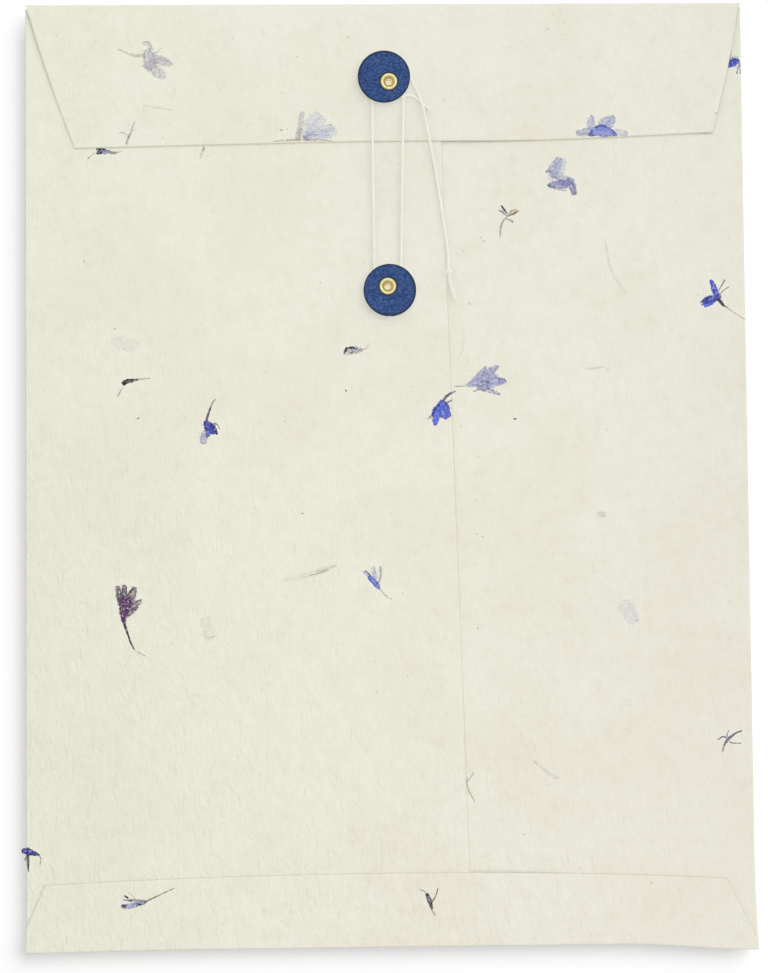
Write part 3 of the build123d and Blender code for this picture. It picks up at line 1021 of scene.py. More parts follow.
def make_closure_sheet():
    """The top margin and the closure flap, one sheet that bends at the crease."""
    step = grid_step()
    turned = crease_arc(FLAP_TOP, 0, QUARTER_TURN, TOP_CREASE_STEPS)
    columns = edged_shares(2 * SIDE, step)
    rows = [(pair, None) for pair in [*reversed(margin_section(FLAP_TOP, step)), *turned[1:]]]
    depth = TOP - min(FLAP_LEFT_TIP.y, FLAP_RIGHT_TIP.y)
    rows += [(None, share) for share in edged_shares(depth, step, first=False)[1:]]

    def place(column, row):
        pair, share = row
        if pair:
            reach, level = pair
            half = FRONT_HIGH.x + (SIDE - FRONT_HIGH.x) * (1 - reach / FOLD_RUN)
            return half * (2 * column - 1), TOP - reach, level, NO_EDGE
        edge_x = FLAP_LEFT_TIP.x + column * (FLAP_RIGHT_TIP.x - FLAP_LEFT_TIP.x)
        start_y = TOP - CREASE_RADIUS
        y = start_y + share * (flap_edge(edge_x) - start_y)
        left = flap_side(max(y, FLAP_LEFT_TIP.y), FLAP_LEFT_TIP, -1)
        right = flap_side(max(y, FLAP_RIGHT_TIP.y), FLAP_RIGHT_TIP, 1)
        x = left + column * (right - left)
        clear = min(x - left, right - x, y - flap_edge(edge_x))
        return x, y, flap_level(x, y), clear

    sheet = paper_sheet("closure_sheet", columns, rows, place, outside_down=True, hole=UPPER)
    middle = Vector((0, TOP, (FLAP_LOW.z + FLAP_TOP) / 2)) * MM
    way = Vector((0, FLAP_BEND_LEAN, 1)) * FLAP_BEND_HALF * MM
    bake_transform(sheet, "top_fold", "closure_flap", start=middle - way, end=middle + way)
    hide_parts("top_fold", "closure_flap")


# Buttons and eyelets, in millimetres. The bands of an eyelet's outline give its radius, and how
# far it lies under the eyelet's top or over its foot
DISC_HOLE = 1.72
DISC_ROUND = 0.13
DISC_SKIN = 0.01
DISC_RIM_DROP = 0.012
DISC_OVERSIZE = 0.12
DISC_RAGGEDNESS = 0.035
DISC_RAGS = 6
DISC_FACE_SHARES = (0.0, 0.08, 0.13, 0.16, 0.19, 0.22, 0.27, 0.33, 0.4, 0.6, 0.8, 0.93)
DISC_RIM_SHARES = (0.975, 0.992, 1.0)
DISC_BACK_SHARES = (0.7, 0.35, 0.0)
NICK_DEPTH = 0.28
NICK_HALF_ANGLE = 0.07
NICK_ANGLE = radians(-92) % FULL_TURN
EYELET_BORE = 1.02
EYELET_BARREL = 1.65
EYELET_NECK = ((EYELET_BORE, 0.12), (EYELET_BORE, 0.5))
EYELET_HEAD = (
    (1.3, 0.7), (1.38, 0.42), (1.46, 0.31), (1.56, 0.33), (1.66, 0.42), (1.74, 0.43), (1.86, 0.3),
    (2.05, 0.1), (2.25, 0.01), (2.45, 0.0), (2.7, 0.08), (2.87, 0.2),
)
EYELET_RIM_DEPTH = 0.31
EYELET_UNDERSIDE = ((2.9, 0.375), (EYELET_BARREL + 0.25, 0.375), (EYELET_BARREL, 0.45))
EYELET_FOOT = (
    (EYELET_BARREL, 0.5), (EYELET_BARREL + 0.15, 0.35), (2.4, 0.345), (2.56, 0.28), (2.6, 0.17),
    (2.5, 0.05), (2.3, 0.0), (1.75, 0.0), (1.45, 0.03),
)


def disc_section(low, high, dish):
    """A disc's face, rim and back, as shares of the way from its hole to its rim, and heights."""
    inner, outer, rim = DISC_RIM_SHARES
    section = [(share, high - dish * (1 - share) ** 3 - DISC_SKIN) for share in DISC_FACE_SHARES]
    section += [(inner, high - DISC_RIM_DROP), (outer, high - DISC_ROUND / 3), (rim, high - DISC_ROUND)]
    section += [(rim, low + DISC_ROUND), (outer, low + DISC_ROUND / 3), (inner, low + DISC_SKIN)]
    section += [(share, low + DISC_SKIN) for share in DISC_BACK_SHARES]
    return [*section, section[0]]


def make_button(node, eyelet_centre, name, nick_angle=None):
    """A card disc, set off centre on its eyelet and drawn down a little there."""
    settings = settings_of("envelope_button")
    low, high = node_box(node)
    centre = node_centre(node)
    radius = (high.x - low.x) / 2
    section = disc_section(low.z, high.z, settings.dish / MM)
    angles = spread(0, FULL_TURN, FULL_TURN / settings.sides)

    def place(angle, pair):
        share, level = pair
        way = Vector((cos(angle), sin(angle), 0))
        edge = radius + DISC_OVERSIZE + DISC_RAGGEDNESS * noise.noise(way * DISC_RAGS + UP * low.z)
        if nick_angle is not None:
            gap = abs((angle - nick_angle + pi) % FULL_TURN - pi)
            edge -= NICK_DEPTH * (1 - smooth_share(gap, 0, NICK_HALF_ANGLE))
        start = eyelet_centre + way * DISC_HOLE
        point = start + (centre + way * edge - start) * share
        return point.x, point.y, level

    bm = bmesh.new()
    disc_reach = bm.verts.layers.float.new(DISC_REACH)
    ring_reach = bm.verts.layers.float.new(RING_REACH)

    def mark(vert, angle, pair):
        vert[disc_reach] = pair[0]
        vert[ring_reach] = (vert.co.to_2d() - eyelet_centre.to_2d()).length

    lay_grid(bm, angles, section, place, mark)
    bmesh.ops.remove_doubles(bm, verts=bm.verts, dist=WELD_GAP)
    bmesh.ops.recalc_face_normals(bm, faces=bm.faces)
    button = new_piece(name, bm, "blue_card")
    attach(button, node)
    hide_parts(node)


def make_eyelet(node, body, name):
    """A brass eyelet: a rolled flange over the disc and a set roll inside the paper."""
    low, high = node_box(node)
    centre = node_centre(node)
    flange = (high.x - low.x) / 2
    head = (*EYELET_HEAD, (flange, EYELET_RIM_DEPTH), *EYELET_UNDERSIDE)
    outline = [(reach, low.z + rise) for reach, rise in EYELET_NECK]
    outline += [(reach, high.z - depth) for reach, depth in head]
    outline += [(reach, low.z + rise) for reach, rise in EYELET_FOOT]
    bm = bmesh.new()
    points = [bm.verts.new((centre.x + reach, centre.y, level)) for reach, level in outline]
    edges = [bm.edges.new((points[place - 1], points[place])) for place in range(len(points))]
    bmesh.ops.spin(
        bm, geom=points + edges, cent=centre, axis=UP, angle=FULL_TURN,
        steps=settings_of("envelope_button").sides, use_merge=True)
    bmesh.ops.remove_doubles(bm, verts=bm.verts, dist=WELD_GAP)
    bmesh.ops.recalc_face_normals(bm, faces=bm.faces)
    ring_reach = bm.verts.layers.float.new(RING_REACH)
    for vert in bm.verts:
        vert[ring_reach] = hypot(vert.co.x - centre.x, vert.co.y - centre.y)
    eyelet = new_piece(name, bm, "brass")
    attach(eyelet, body)
    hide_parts(node)


# The string's route, in millimetres: the same places as the solids of the frame
CORD = 0.95
CORD_LIFT = 0.72
SPACER_RADIUS = 4.0
LOOP_CLEARANCE = 0.1
LOOP_RADIUS = SPACER_RADIUS + LOOP_CLEARANCE + CORD / 2
OUTER_GAP = 1.4
OUTER_RADIUS = LOOP_RADIUS + OUTER_GAP
WIDENING_RADIUS = 8.8
WIDENING_TURN = radians(66)
EDGE_OVERSHOOT = 1.6
LEVEL_RUN = 6.5
RING_STEP = radians(30)
RING_APPROACH = 6 * CORD
HITCH_LEAN = 0.55
UPPER_CORD_LEVEL = FLAP_TOP + CORD_LIFT
LOWER_CORD_LEVEL = PANEL_TOP + CORD_LIFT
ANCHOR_KNOT_LENGTH = 2.84
TAIL_FIRST_RUN = 2.2
TAIL_OVER_FLAP = [
    (10.6, -5.0, 0.82), (11.3, -7.1, 1.68), (11.8, -9.1, 1.71), (12.5, -12.4, 0.64),
    (13.5, -17.2, 0.56), (14.4, -22.6, 0.57),
]
TAIL_TO_KNOT = [
    (15.5, -28.1, 0.55), (16.7, -35.8, 0.53), (17.8, -43.8, 0.54), (19.0, -51.3, 0.53),
    (19.7, -56.7, 0.55), (20.05, -60.9, 0.75), (20.1, -64.1, 1.12),
]
TAIL_PAST_KNOT = [(20.3, -68.3, 1.12), (21.1, -71.7, 0.58), (21.8, -74.3, 0.53), (22.5, -76.4, 0.54)]
SHORT_END = [
    (7.6, -4.575, 0.72), (9.5, -5.5, 0.58), (11.2, -7.1, 0.53), (12.9, -8.8, 0.54), (14.1, -9.7, 0.53),
]


def round_point(centre, radius, angle, level):
    """A point on a level circle."""
    return Vector((centre.x + radius * cos(angle), centre.y + radius * sin(angle), level))


def ring(centre, radius, first, last, level):
    """Control points of a taut turn from one angle to another."""
    count = max(1, round(abs(last - first) / RING_STEP))
    half = (last - first) / count / 2
    reach = radius / cos(half)
    return [round_point(centre, reach, first + half * (2 * turn + 1), level) for turn in range(count)]


def over_surface(points, level):
    """Route points given from the upper eyelet, with their lift over a level."""
    return [Vector((UPPER.x + x, UPPER.y + y, level + lift)) for x, y, lift in points]


def taut_run(upper, lower, lean=0.0):
    """A straight stretch, bent over the flap's edge, with a point near each ring."""
    span = lower - upper
    edge_y = (FLAP_LEFT_TIP.y + FLAP_RIGHT_TIP.y) / 2 - EDGE_OVERSHOOT

    def at(share, level):
        point = upper + span * share
        return Vector((point.x, point.y, level))

    edge_share = (upper.y - edge_y) / -span.y
    level_share = 1 - LEVEL_RUN / -span.y
    near = RING_APPROACH / span.length
    aside = Vector((lean, 0, 0))
    return [
        upper, at(near, upper.z) + aside, at(edge_share, upper.z) + aside / 2, at(level_share, lower.z),
        lower,
    ]


class StringRoute:
    """The places that the string goes through, from the hitch to the frayed end."""

    def __init__(self):
        down = LOWER - UPPER
        right = atan2(down.y, down.x) + QUARTER_TURN
        left = right + pi + asin((OUTER_RADIUS - LOOP_RADIUS) / down.length)
        self.knot = Vector((UPPER.x + LOOP_RADIUS, UPPER.y - LOOP_RADIUS, UPPER_CORD_LEVEL))
        half_knot = Vector((ANCHOR_KNOT_LENGTH / 2, 0, 0))
        self.right_start = round_point(UPPER, LOOP_RADIUS, right, UPPER_CORD_LEVEL)
        self.left_end = round_point(UPPER, OUTER_RADIUS, left, UPPER_CORD_LEVEL)
        right_foot = round_point(LOWER, LOOP_RADIUS, right, LOWER_CORD_LEVEL)
        left_foot = round_point(LOWER, LOOP_RADIUS, left, LOWER_CORD_LEVEL)
        crown = round_point(UPPER, OUTER_RADIUS, QUARTER_TURN, UPPER_CORD_LEVEL)
        widening_centre = crown - Vector((0, WIDENING_RADIUS, 0))
        leave = round_point(
            widening_centre, WIDENING_RADIUS, QUARTER_TURN - WIDENING_TURN, UPPER_CORD_LEVEL)
        way = Vector((cos(WIDENING_TURN), -sin(WIDENING_TURN), 0))
        self.tail_start = leave + way * CORD

        self.points = [self.knot - half_knot]
        self.points.append(round_point(UPPER, LOOP_RADIUS, -QUARTER_TURN, UPPER_CORD_LEVEL))
        self.points += ring(UPPER, LOOP_RADIUS, -QUARTER_TURN, right - FULL_TURN, UPPER_CORD_LEVEL)
        self.points += taut_run(self.right_start, right_foot, HITCH_LEAN)
        self.points += ring(LOWER, LOOP_RADIUS, right, left - FULL_TURN, LOWER_CORD_LEVEL)
        self.points += taut_run(self.left_end, left_foot)[::-1]
        self.points += ring(UPPER, OUTER_RADIUS, left, QUARTER_TURN, UPPER_CORD_LEVEL)
        self.points += ring(
            widening_centre, WIDENING_RADIUS, QUARTER_TURN, QUARTER_TURN - WIDENING_TURN,
            UPPER_CORD_LEVEL)
        self.points += [self.tail_start, self.tail_start + way * TAIL_FIRST_RUN]
        self.points += over_surface(TAIL_OVER_FLAP, FLAP_TOP)
        before_knot = over_surface(TAIL_TO_KNOT, PANEL_TOP)
        past_knot = over_surface(TAIL_PAST_KNOT, PANEL_TOP)
        self.points += before_knot + past_knot
        self.tail_knot = (before_knot[-1] + past_knot[0]) / 2
        self.tail_knot_way = (past_knot[0] - before_knot[-1]).normalized()
        self.short_points = [self.knot + half_knot] + over_surface(SHORT_END, FLAP_TOP)


# Plies, loose fibres and knots of the string, in millimetres
SPLINE_RESOLUTION = 16
STRAND_STEP = 0.24
LEAST_SPAN = 1e-9
PLY_RADIUS_SHARE = 0.29
PLY_OFFSET_SHARE = 0.21
PLY_RISE_SHARE = 0.7
LOOSE_OFFSET = 0.3
LOOSE_START = 1.2
LOOSE_END = 6.0
SHORT_LOOSE_RUN = 5.0
FIBRE_RADIUS = 0.055
FIBRE_SEED = 7
FIBRE_DRAW_X = 3.7
FIBRE_DRAW_Y = 0.31
FIBRE_DRAW_Z = 1.9
FIBRE_DRAW_SCALE = 1.6
FIBRE_START_SHARE = 0.55
FIBRE_OVERHANG_SHARE = 0.4
FIBRE_WAVE_SHARE = 0.25
FIBRE_WAVES = 7
FIBRE_WAVE_SHIFT = 2.1
FIBRE_TURN = 2.4
FIBRE_SIDE = 0.2
FIBRE_RISE = 0.25
FIBRE_FALL = 0.12
HITCH_STEP_SHARE = 0.02
HITCH_TURNS = 2
HITCH_HALF_WIDTH = 1.0
HITCH_RUN = 1.5
HITCH_HALF_HEIGHT = 0.6
HITCH_OFFSET_SHARE = 0.6
HITCH_PLY_SHARE = 0.85
OVERHAND_STEP_SHARE = 0.01
OVERHAND_RUN = 0.672
OVERHAND_WIDTH = 0.2592
OVERHAND_HEIGHT = 0.204
OVERHAND_OFFSET_SHARE = 0.55
OVERHAND_PLY_SHARE = 0.8


def new_curve(name):
    """An empty curve in space."""
    data = bpy.data.curves.new(name, "CURVE")
    data.dimensions = "3D"
    return data


def add_spline(data, kind, points):
    """A spline of a curve with the given control points."""
    spline = data.splines.new(kind)
    spline.points.add(len(points) - 1)
    for control, point in zip(spline.points, points):
        control.co = (*point, 1)
    return spline


def mesh_of_curve(data):
    """A mesh made from a curve, which is then removed."""
    carrier = bpy.data.objects.new(data.name, data)
    mesh = bpy.data.meshes.new_from_object(carrier)
    bpy.data.objects.remove(carrier)
    bpy.data.curves.remove(data)
    return mesh


def spline_points(points):
    """Points read from a smooth spline that has the route's points as its control points."""
    data = new_curve("route")
    data.resolution_u = SPLINE_RESOLUTION
    spline = add_spline(data, "NURBS", points)
    spline.order_u = 3
    spline.use_endpoint_u = True
    mesh = mesh_of_curve(data)
    line = [vert.co.copy() for vert in mesh.vertices]
    bpy.data.meshes.remove(mesh)
    return line


def cotton_piece(name, lines, radius, sides=3):
    """A piece of round cotton strands along several lines."""
    data = new_curve("strands")
    data.bevel_depth = radius
    data.bevel_resolution = sides
    data.use_fill_caps = True
    for line in lines:
        add_spline(data, "POLY", line)
    mesh = mesh_of_curve(data)
    bm = bmesh.new()
    bm.from_mesh(mesh)
    bpy.data.meshes.remove(mesh)
    return new_piece(name, bm, "cotton_string", SOFT_RIM)


def even_line(line, step):
    """The same line with its points one step apart, and the length to each point."""
    marks = [0.0]
    for first, second in zip(line, line[1:]):
        marks.append(marks[-1] + (second - first).length)
    places = spread(0, marks[-1], step)
    even = []
    span = 0
    for place in places:
        while span < len(line) - 2 and marks[span + 1] < place:
            span += 1
        share = (place - marks[span]) / max(LEAST_SPAN, marks[span + 1] - marks[span])
        even.append(line[span].lerp(line[span + 1], min(1.0, share)))
    return even, places


def line_length(line):
    """Length of a line."""
    return sum((second - first).length for first, second in zip(line, line[1:]))


def nearest_place(line, point):
    """The place of the point of a line that lies nearest."""
    return min(range(len(line)), key=lambda place: (line[place] - point).length_squared)


def metres(points):
    """Points in metres."""
    return [tuple(point * MM) for point in points]


def twisted_plies(line, lengths, ply_offset, loose_from=None):
    """Lines of the plies that twist round a line, and stand apart past loose_from."""
    settings = settings_of("envelope_string")
    lay = settings.lay_length / MM
    plies = [[] for _ in range(settings.plies)]
    for place, point in enumerate(line):
        ahead = line[min(place + 1, len(line) - 1)]
        behind = line[max(place - 1, 0)]
        way = (ahead - behind).normalized()
        side = way.cross(UP).normalized()
        rise = side.cross(way)
        offset = ply_offset
        if loose_from is not None:
            offset += LOOSE_OFFSET * smooth_share(lengths[place] - loose_from, LOOSE_START, LOOSE_END)
        for ply, path in enumerate(plies):
            angle = FULL_TURN * (lengths[place] / lay + ply / settings.plies)
            path.append(point + offset * (side * cos(angle) + PLY_RISE_SHARE * rise * sin(angle)))
    return plies


def fray(name, line, count, reach, overhang, spread_out):
    """Fine loose fibres along the last stretch of a line, fanning out at its end."""
    paths = []
    points, lengths = even_line(line, STRAND_STEP)
    end = lengths[-1]
    noise.seed_set(FIBRE_SEED)
    for turn in range(count):
        seat = Vector((turn * FIBRE_DRAW_X, len(line) * FIBRE_DRAW_Y, turn * FIBRE_DRAW_Z))
        draw = noise.noise_vector(seat) * FIBRE_DRAW_SCALE
        start = end - reach * (FIBRE_START_SHARE + (1 - FIBRE_START_SHARE) * abs(draw.z))
        path = [point.copy() for point, length in zip(points, lengths) if length >= start]
        way = (path[-1] - path[-3]).normalized()
        past_end = FIBRE_OVERHANG_SHARE + (1 - FIBRE_OVERHANG_SHARE) * abs(draw.y)
        path.append(path[-1] + way * overhang * past_end)
        side = way.cross(UP).normalized()
        angle = turn * FIBRE_TURN
        for place, point in enumerate(path):
            share = place / (len(path) - 1)
            wave = FIBRE_WAVE_SHARE * sin(share * FIBRE_WAVES + turn * FIBRE_WAVE_SHIFT)
            point += side * (spread_out * share * (draw.x + wave) + FIBRE_SIDE * sin(angle))
            point += UP * (FIBRE_RISE * cos(angle) * (1 - share) - FIBRE_FALL * share)
        paths.append(path)
    piece = cotton_piece(name, paths, FIBRE_RADIUS, sides=1)
    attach(piece, "closure_flap")
    return piece


def knot_piece(name, bend, offset, radius):
    """A knot of twisted plies along a bend."""
    line, lengths = even_line(bend, STRAND_STEP)
    return cotton_piece(name, twisted_plies(line, lengths, offset), radius)


def make_anchor_knot(route, radius):
    """The hitch that ties the string to itself, two flat turns round the right run."""
    bend = []
    for share in spread(0, 1, HITCH_STEP_SHARE):
        angle = FULL_TURN * HITCH_TURNS * share
        x = HITCH_HALF_WIDTH * cos(angle)
        bend.append(route.knot + Vector((x, (share - 0.5) * HITCH_RUN, HITCH_HALF_HEIGHT * sin(angle))))
    knot = knot_piece(
        "cotton_anchor_knot", bend, radius * HITCH_OFFSET_SHARE, radius * HITCH_PLY_SHARE)
    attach(knot, "closure_flap")
    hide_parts("anchor_knot")
    return knot


def make_tail_knot(route, radius):
    """An overhand knot near the end of the tail."""
    way = route.tail_knot_way
    side = way.cross(UP).normalized()
    rise = side.cross(way)
    bend = []
    for share in spread(0, 1, OVERHAND_STEP_SHARE):
        angle = FULL_TURN * share
        ahead = OVERHAND_RUN * sin(3 * angle)
        across = OVERHAND_WIDTH * (sin(angle) + 2 * sin(2 * angle))
        height = OVERHAND_HEIGHT * (cos(angle) - 2 * cos(2 * angle))
        bend.append(route.tail_knot + way * ahead + side * across + rise * height)
    knot = knot_piece(
        "cotton_tail_knot", bend, radius * OVERHAND_OFFSET_SHARE, radius * OVERHAND_PLY_SHARE)
    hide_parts("tail_knot")
    return knot


def gather(piece):
    """Give a piece of the string a mesh of its own."""
    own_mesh(piece)


def make_string():
    """The cotton string: the hitch, the taut loop, the crown, the loose tail and the short end."""
    settings = settings_of("envelope_string")
    diameter = settings.diameter / MM
    radius = PLY_RADIUS_SHARE * diameter
    offset = PLY_OFFSET_SHARE * diameter
    route = StringRoute()
    line, lengths = even_line(spline_points(route.points), STRAND_STEP)
    knot_place = nearest_place(line, route.tail_knot)
    plies = twisted_plies(line, lengths, offset, loose_from=lengths[knot_place])
    cuts = [0, nearest_place(line[:len(line) // 2], route.right_start)]
    cuts += [nearest_place(line, point) for point in (route.left_end, route.tail_start)]
    cuts.append(len(line) - 1)
    made = {}
    paths = {}
    names = ("cotton_hitch", "cotton_loop", "cotton_crown", "cotton_tail")
    for name, first, last in zip(names, cuts, cuts[1:]):
        made[name] = cotton_piece(name, [ply[first:last + 1] for ply in plies], radius)
        paths[name] = line[first:last + 1]

    short_line, short_lengths = even_line(spline_points(route.short_points), STRAND_STEP)
    loose_from = short_lengths[-1] - SHORT_LOOSE_RUN
    short_plies = twisted_plies(short_line, short_lengths, offset, loose_from)
    short = cotton_piece("cotton_short_end", short_plies, radius)
    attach(short, "closure_flap")
    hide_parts("string_anchor_tail")

    knot = make_anchor_knot(route, radius)
    tail_knot = make_tail_knot(route, radius)
    tail_fray = fray(
        "cotton_tail_fray", line[knot_place:], count=16, reach=8.0, overhang=1.0, spread_out=0.55)
    short_fray = fray(
        "cotton_short_fray", short_line, count=9, reach=3.0, overhang=1.1, spread_out=0.6)
    for name in ("cotton_hitch", "cotton_crown", "cotton_loop"):
        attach(made[name], "closure_flap")
    gather(made["cotton_loop"])
    for piece in (made["cotton_tail"], tail_knot, tail_fray):
        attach(piece, "closure_flap")
        gather(piece)
    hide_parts("string_winding")
    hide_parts("string_tail")

    loop_path = paths["cotton_loop"]
    line_length(loop_path) * MM
    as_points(metres(loop_path))
    tail_path = paths["cotton_tail"]
    line_length(tail_path) * MM
    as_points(metres(tail_path))


# Pressed petals and loose fibres. Each stroke has a tint, its cover, and points of x, y and width
# in drawing steps, up the sheet from the floret's own place
FOG = srgb(186, 181, 187)
HAZE = srgb(203, 207, 217)
LAVENDER = srgb(170, 173, 210)
LILAC = srgb(146, 143, 193)
SKY_BLUE = srgb(128, 142, 228)
BLUE = srgb(99, 116, 228)
DEEP_BLUE = srgb(70, 82, 190)
NIGHT_BLUE = srgb(50, 54, 122)
INK = srgb(44, 41, 58)
SLATE = srgb(96, 94, 114)
STEEL = srgb(138, 138, 150)
ASH = srgb(166, 162, 156)
PLUM = srgb(104, 54, 104)
GREY_PLUM = srgb(122, 106, 114)
DARK_PLUM = srgb(62, 42, 56)
BARK = srgb(40, 35, 24)
UMBER = srgb(92, 74, 62)
TAN = srgb(188, 168, 142)
AMBER = srgb(208, 180, 130)
STRAW = srgb(182, 174, 136)
OLIVE = srgb(130, 124, 98)
MILK = srgb(204, 206, 216)
PEARL = srgb(200, 208, 202)
BISQUE = srgb(192, 184, 152)

FLAP_FLORETS = [
    ((-81.6, 143.7), [
        (STRAW, 0.45, [(-31.5, 11, 1.3), (-25, 8, 1.8), (-17, 4.5, 2.6), (-9, 5, 2), (-3, 6, 1.4)]),
        (STRAW, 0.3, [(-15, 3, 1.2), (-8, 3.5, 1.6), (-2, 3, 1.2)]),
        (FOG, 0.4, [(-6, 17, 3), (-1, 17, 5), (1, 10, 5)]),
        (ASH, 0.5, [(-8, 17, 1), (-3, 19, 1.4), (0, 17, 1.6), (1, 13, 1.8), (-1, 8, 1.8), (-1, 3, 1.2)]),
        (ASH, 0.45, [(3, 6, 1.6), (7, 8, 1.8), (11, 11.5, 1)]),
        (FOG, 0.62, [(-2, 10, 6), (0, 0, 13), (0, -8, 10)]),
        (FOG, 0.6, [(2, 2, 7), (10, 0, 8), (17, -2.5, 7), (21, -5, 3)]),
        (STEEL, 0.3, [(3, 1, 0.9), (13, 0.5, 1.1), (21, -4, 0.8)]),
        (STEEL, 0.25, [(5, -3, 0.9), (16, -6, 0.9)]),
        (FOG, 0.5, [(-1, -4, 9), (5, -10, 10), (11, -15, 9), (14, -18, 4)]),
        (STEEL, 0.22, [(0, -6, 0.9), (8, -13, 1.1), (15, -18, 0.8)]),
    ]),
    ((-29.6, 116.1), [
        (HAZE, 0.4, [(3, 3, 7), (10, 15, 11), (18, 24, 7)]),
        (HAZE, 0.4, [(5, 2, 7), (15, 12, 12), (23, 20, 7)]),
        (HAZE, 0.42, [(6, 2, 7), (20, 8, 10), (33, 11, 5)]),
        (LAVENDER, 0.3, [(5, 0, 6), (21, 4, 10), (35, 7, 8)]),
        (LAVENDER, 0.26, [(4, 0, 4), (19, 1, 7), (31, 2, 5)]),
        (LILAC, 0.2, [(3, 1, 0.8), (12, 4, 1.1), (25, 3, 1), (31, 2, 0.7)]),
        (LILAC, 0.2, [(10, 5, 0.8), (18, 8, 1), (30, 6, 1), (36, 9, 0.7)]),
        (STEEL, 0.12, [(6, 5, 0.8), (14, 15, 1), (21, 23, 0.8)]),
        (STEEL, 0.4, [(26, 12, 1), (29, 14, 1.4), (32, 12, 1)]),
        (FOG, 0.55, [(2.5, 26, 3.6), (1, 18, 5), (-1, 9, 4.4), (-2, 0, 6)]),
        (TAN, 0.5, [(-1, 10, 2.4), (-2, 4, 3.4), (-3, -1, 5)]),
        (TAN, 0.6, [
            (-27, -3, 0.9), (-15, -2, 1.5), (-3, -1.5, 2.4), (10, -1.5, 2), (22, -2, 1.6), (33, -3, 0.8)]),
        (OLIVE, 0.6, [(-19.6, 8.5, 1.4), (-17.6, 8.5, 1.2)]),
        (OLIVE, 0.3, [(-13.5, 9, 1), (-12.5, 9.2, 1)]),
    ]),
    ((76.0, 116.3), [
        (LAVENDER, 0.6, [(-13, 9, 6), (-12, 16, 7), (-11, 21, 2)]),
        (STEEL, 0.6, [(-8, 12, 1.2), (-10, 17, 1.8), (-11.5, 22, 0.9)]),
        (LAVENDER, 0.72, [(-3, 12, 6), (4, 16, 8), (11, 20, 3)]),
        (LAVENDER, 0.65, [(4, 9, 6), (9, 13, 7), (12, 19, 2)]),
        (LAVENDER, 0.72, [(-12, 5, 7), (-20, 4, 7), (-26, 3.5, 4)]),
        (STEEL, 0.4, [(-17, 5, 1), (-21, 2.5, 1.4), (-25, 4, 1)]),
        (HAZE, 0.7, [(12, 5, 4), (18, 4, 6), (24, 2, 4)]),
        (SKY_BLUE, 0.96, [
            (-14, 1, 2), (-9, 4.5, 7), (-3, 5.6, 10.5), (3, 5.2, 10), (9, 3.5, 6), (14, 0.8, 1.6)]),
        (LAVENDER, 0.7, [(-9, 2.4, 3), (-1, 4, 6), (8, 2.2, 3)]),
        (NIGHT_BLUE, 0.85, [
            (-14, 1, 0.9), (-11, 7, 1), (-6, 10.4, 1), (-1, 11.4, 1), (5, 8.6, 1), (11, 4.6, 1),
            (13.6, 1, 0.9)]),
        (SLATE, 0.75, [(-14, 0.8, 1.6), (-11.5, 2.5, 3), (-10, 1, 2)]),
    ]),
    ((-79.3, 126.9), [(STRAW, 0.2, [(-13.5, 2.5, 1.6), (0, 0.4, 2), (13.5, -2, 1.6)])]),
    ((-88.6, 118.5), [
        (OLIVE, 0.75, [(-4, -12, 1.6), (-2, -6, 2), (0, -2, 1.6)]),
        (ASH, 0.45, [(0, -2, 1.6), (2, 4, 2.2), (5, 11, 1)]),
        (OLIVE, 0.45, [(-2, -4, 0.9), (-6, 0, 0.9), (-11, -1, 0.7)]),
        (ASH, 0.4, [(1, 0, 0.9), (6, 3, 0.7)]),
    ]),
]

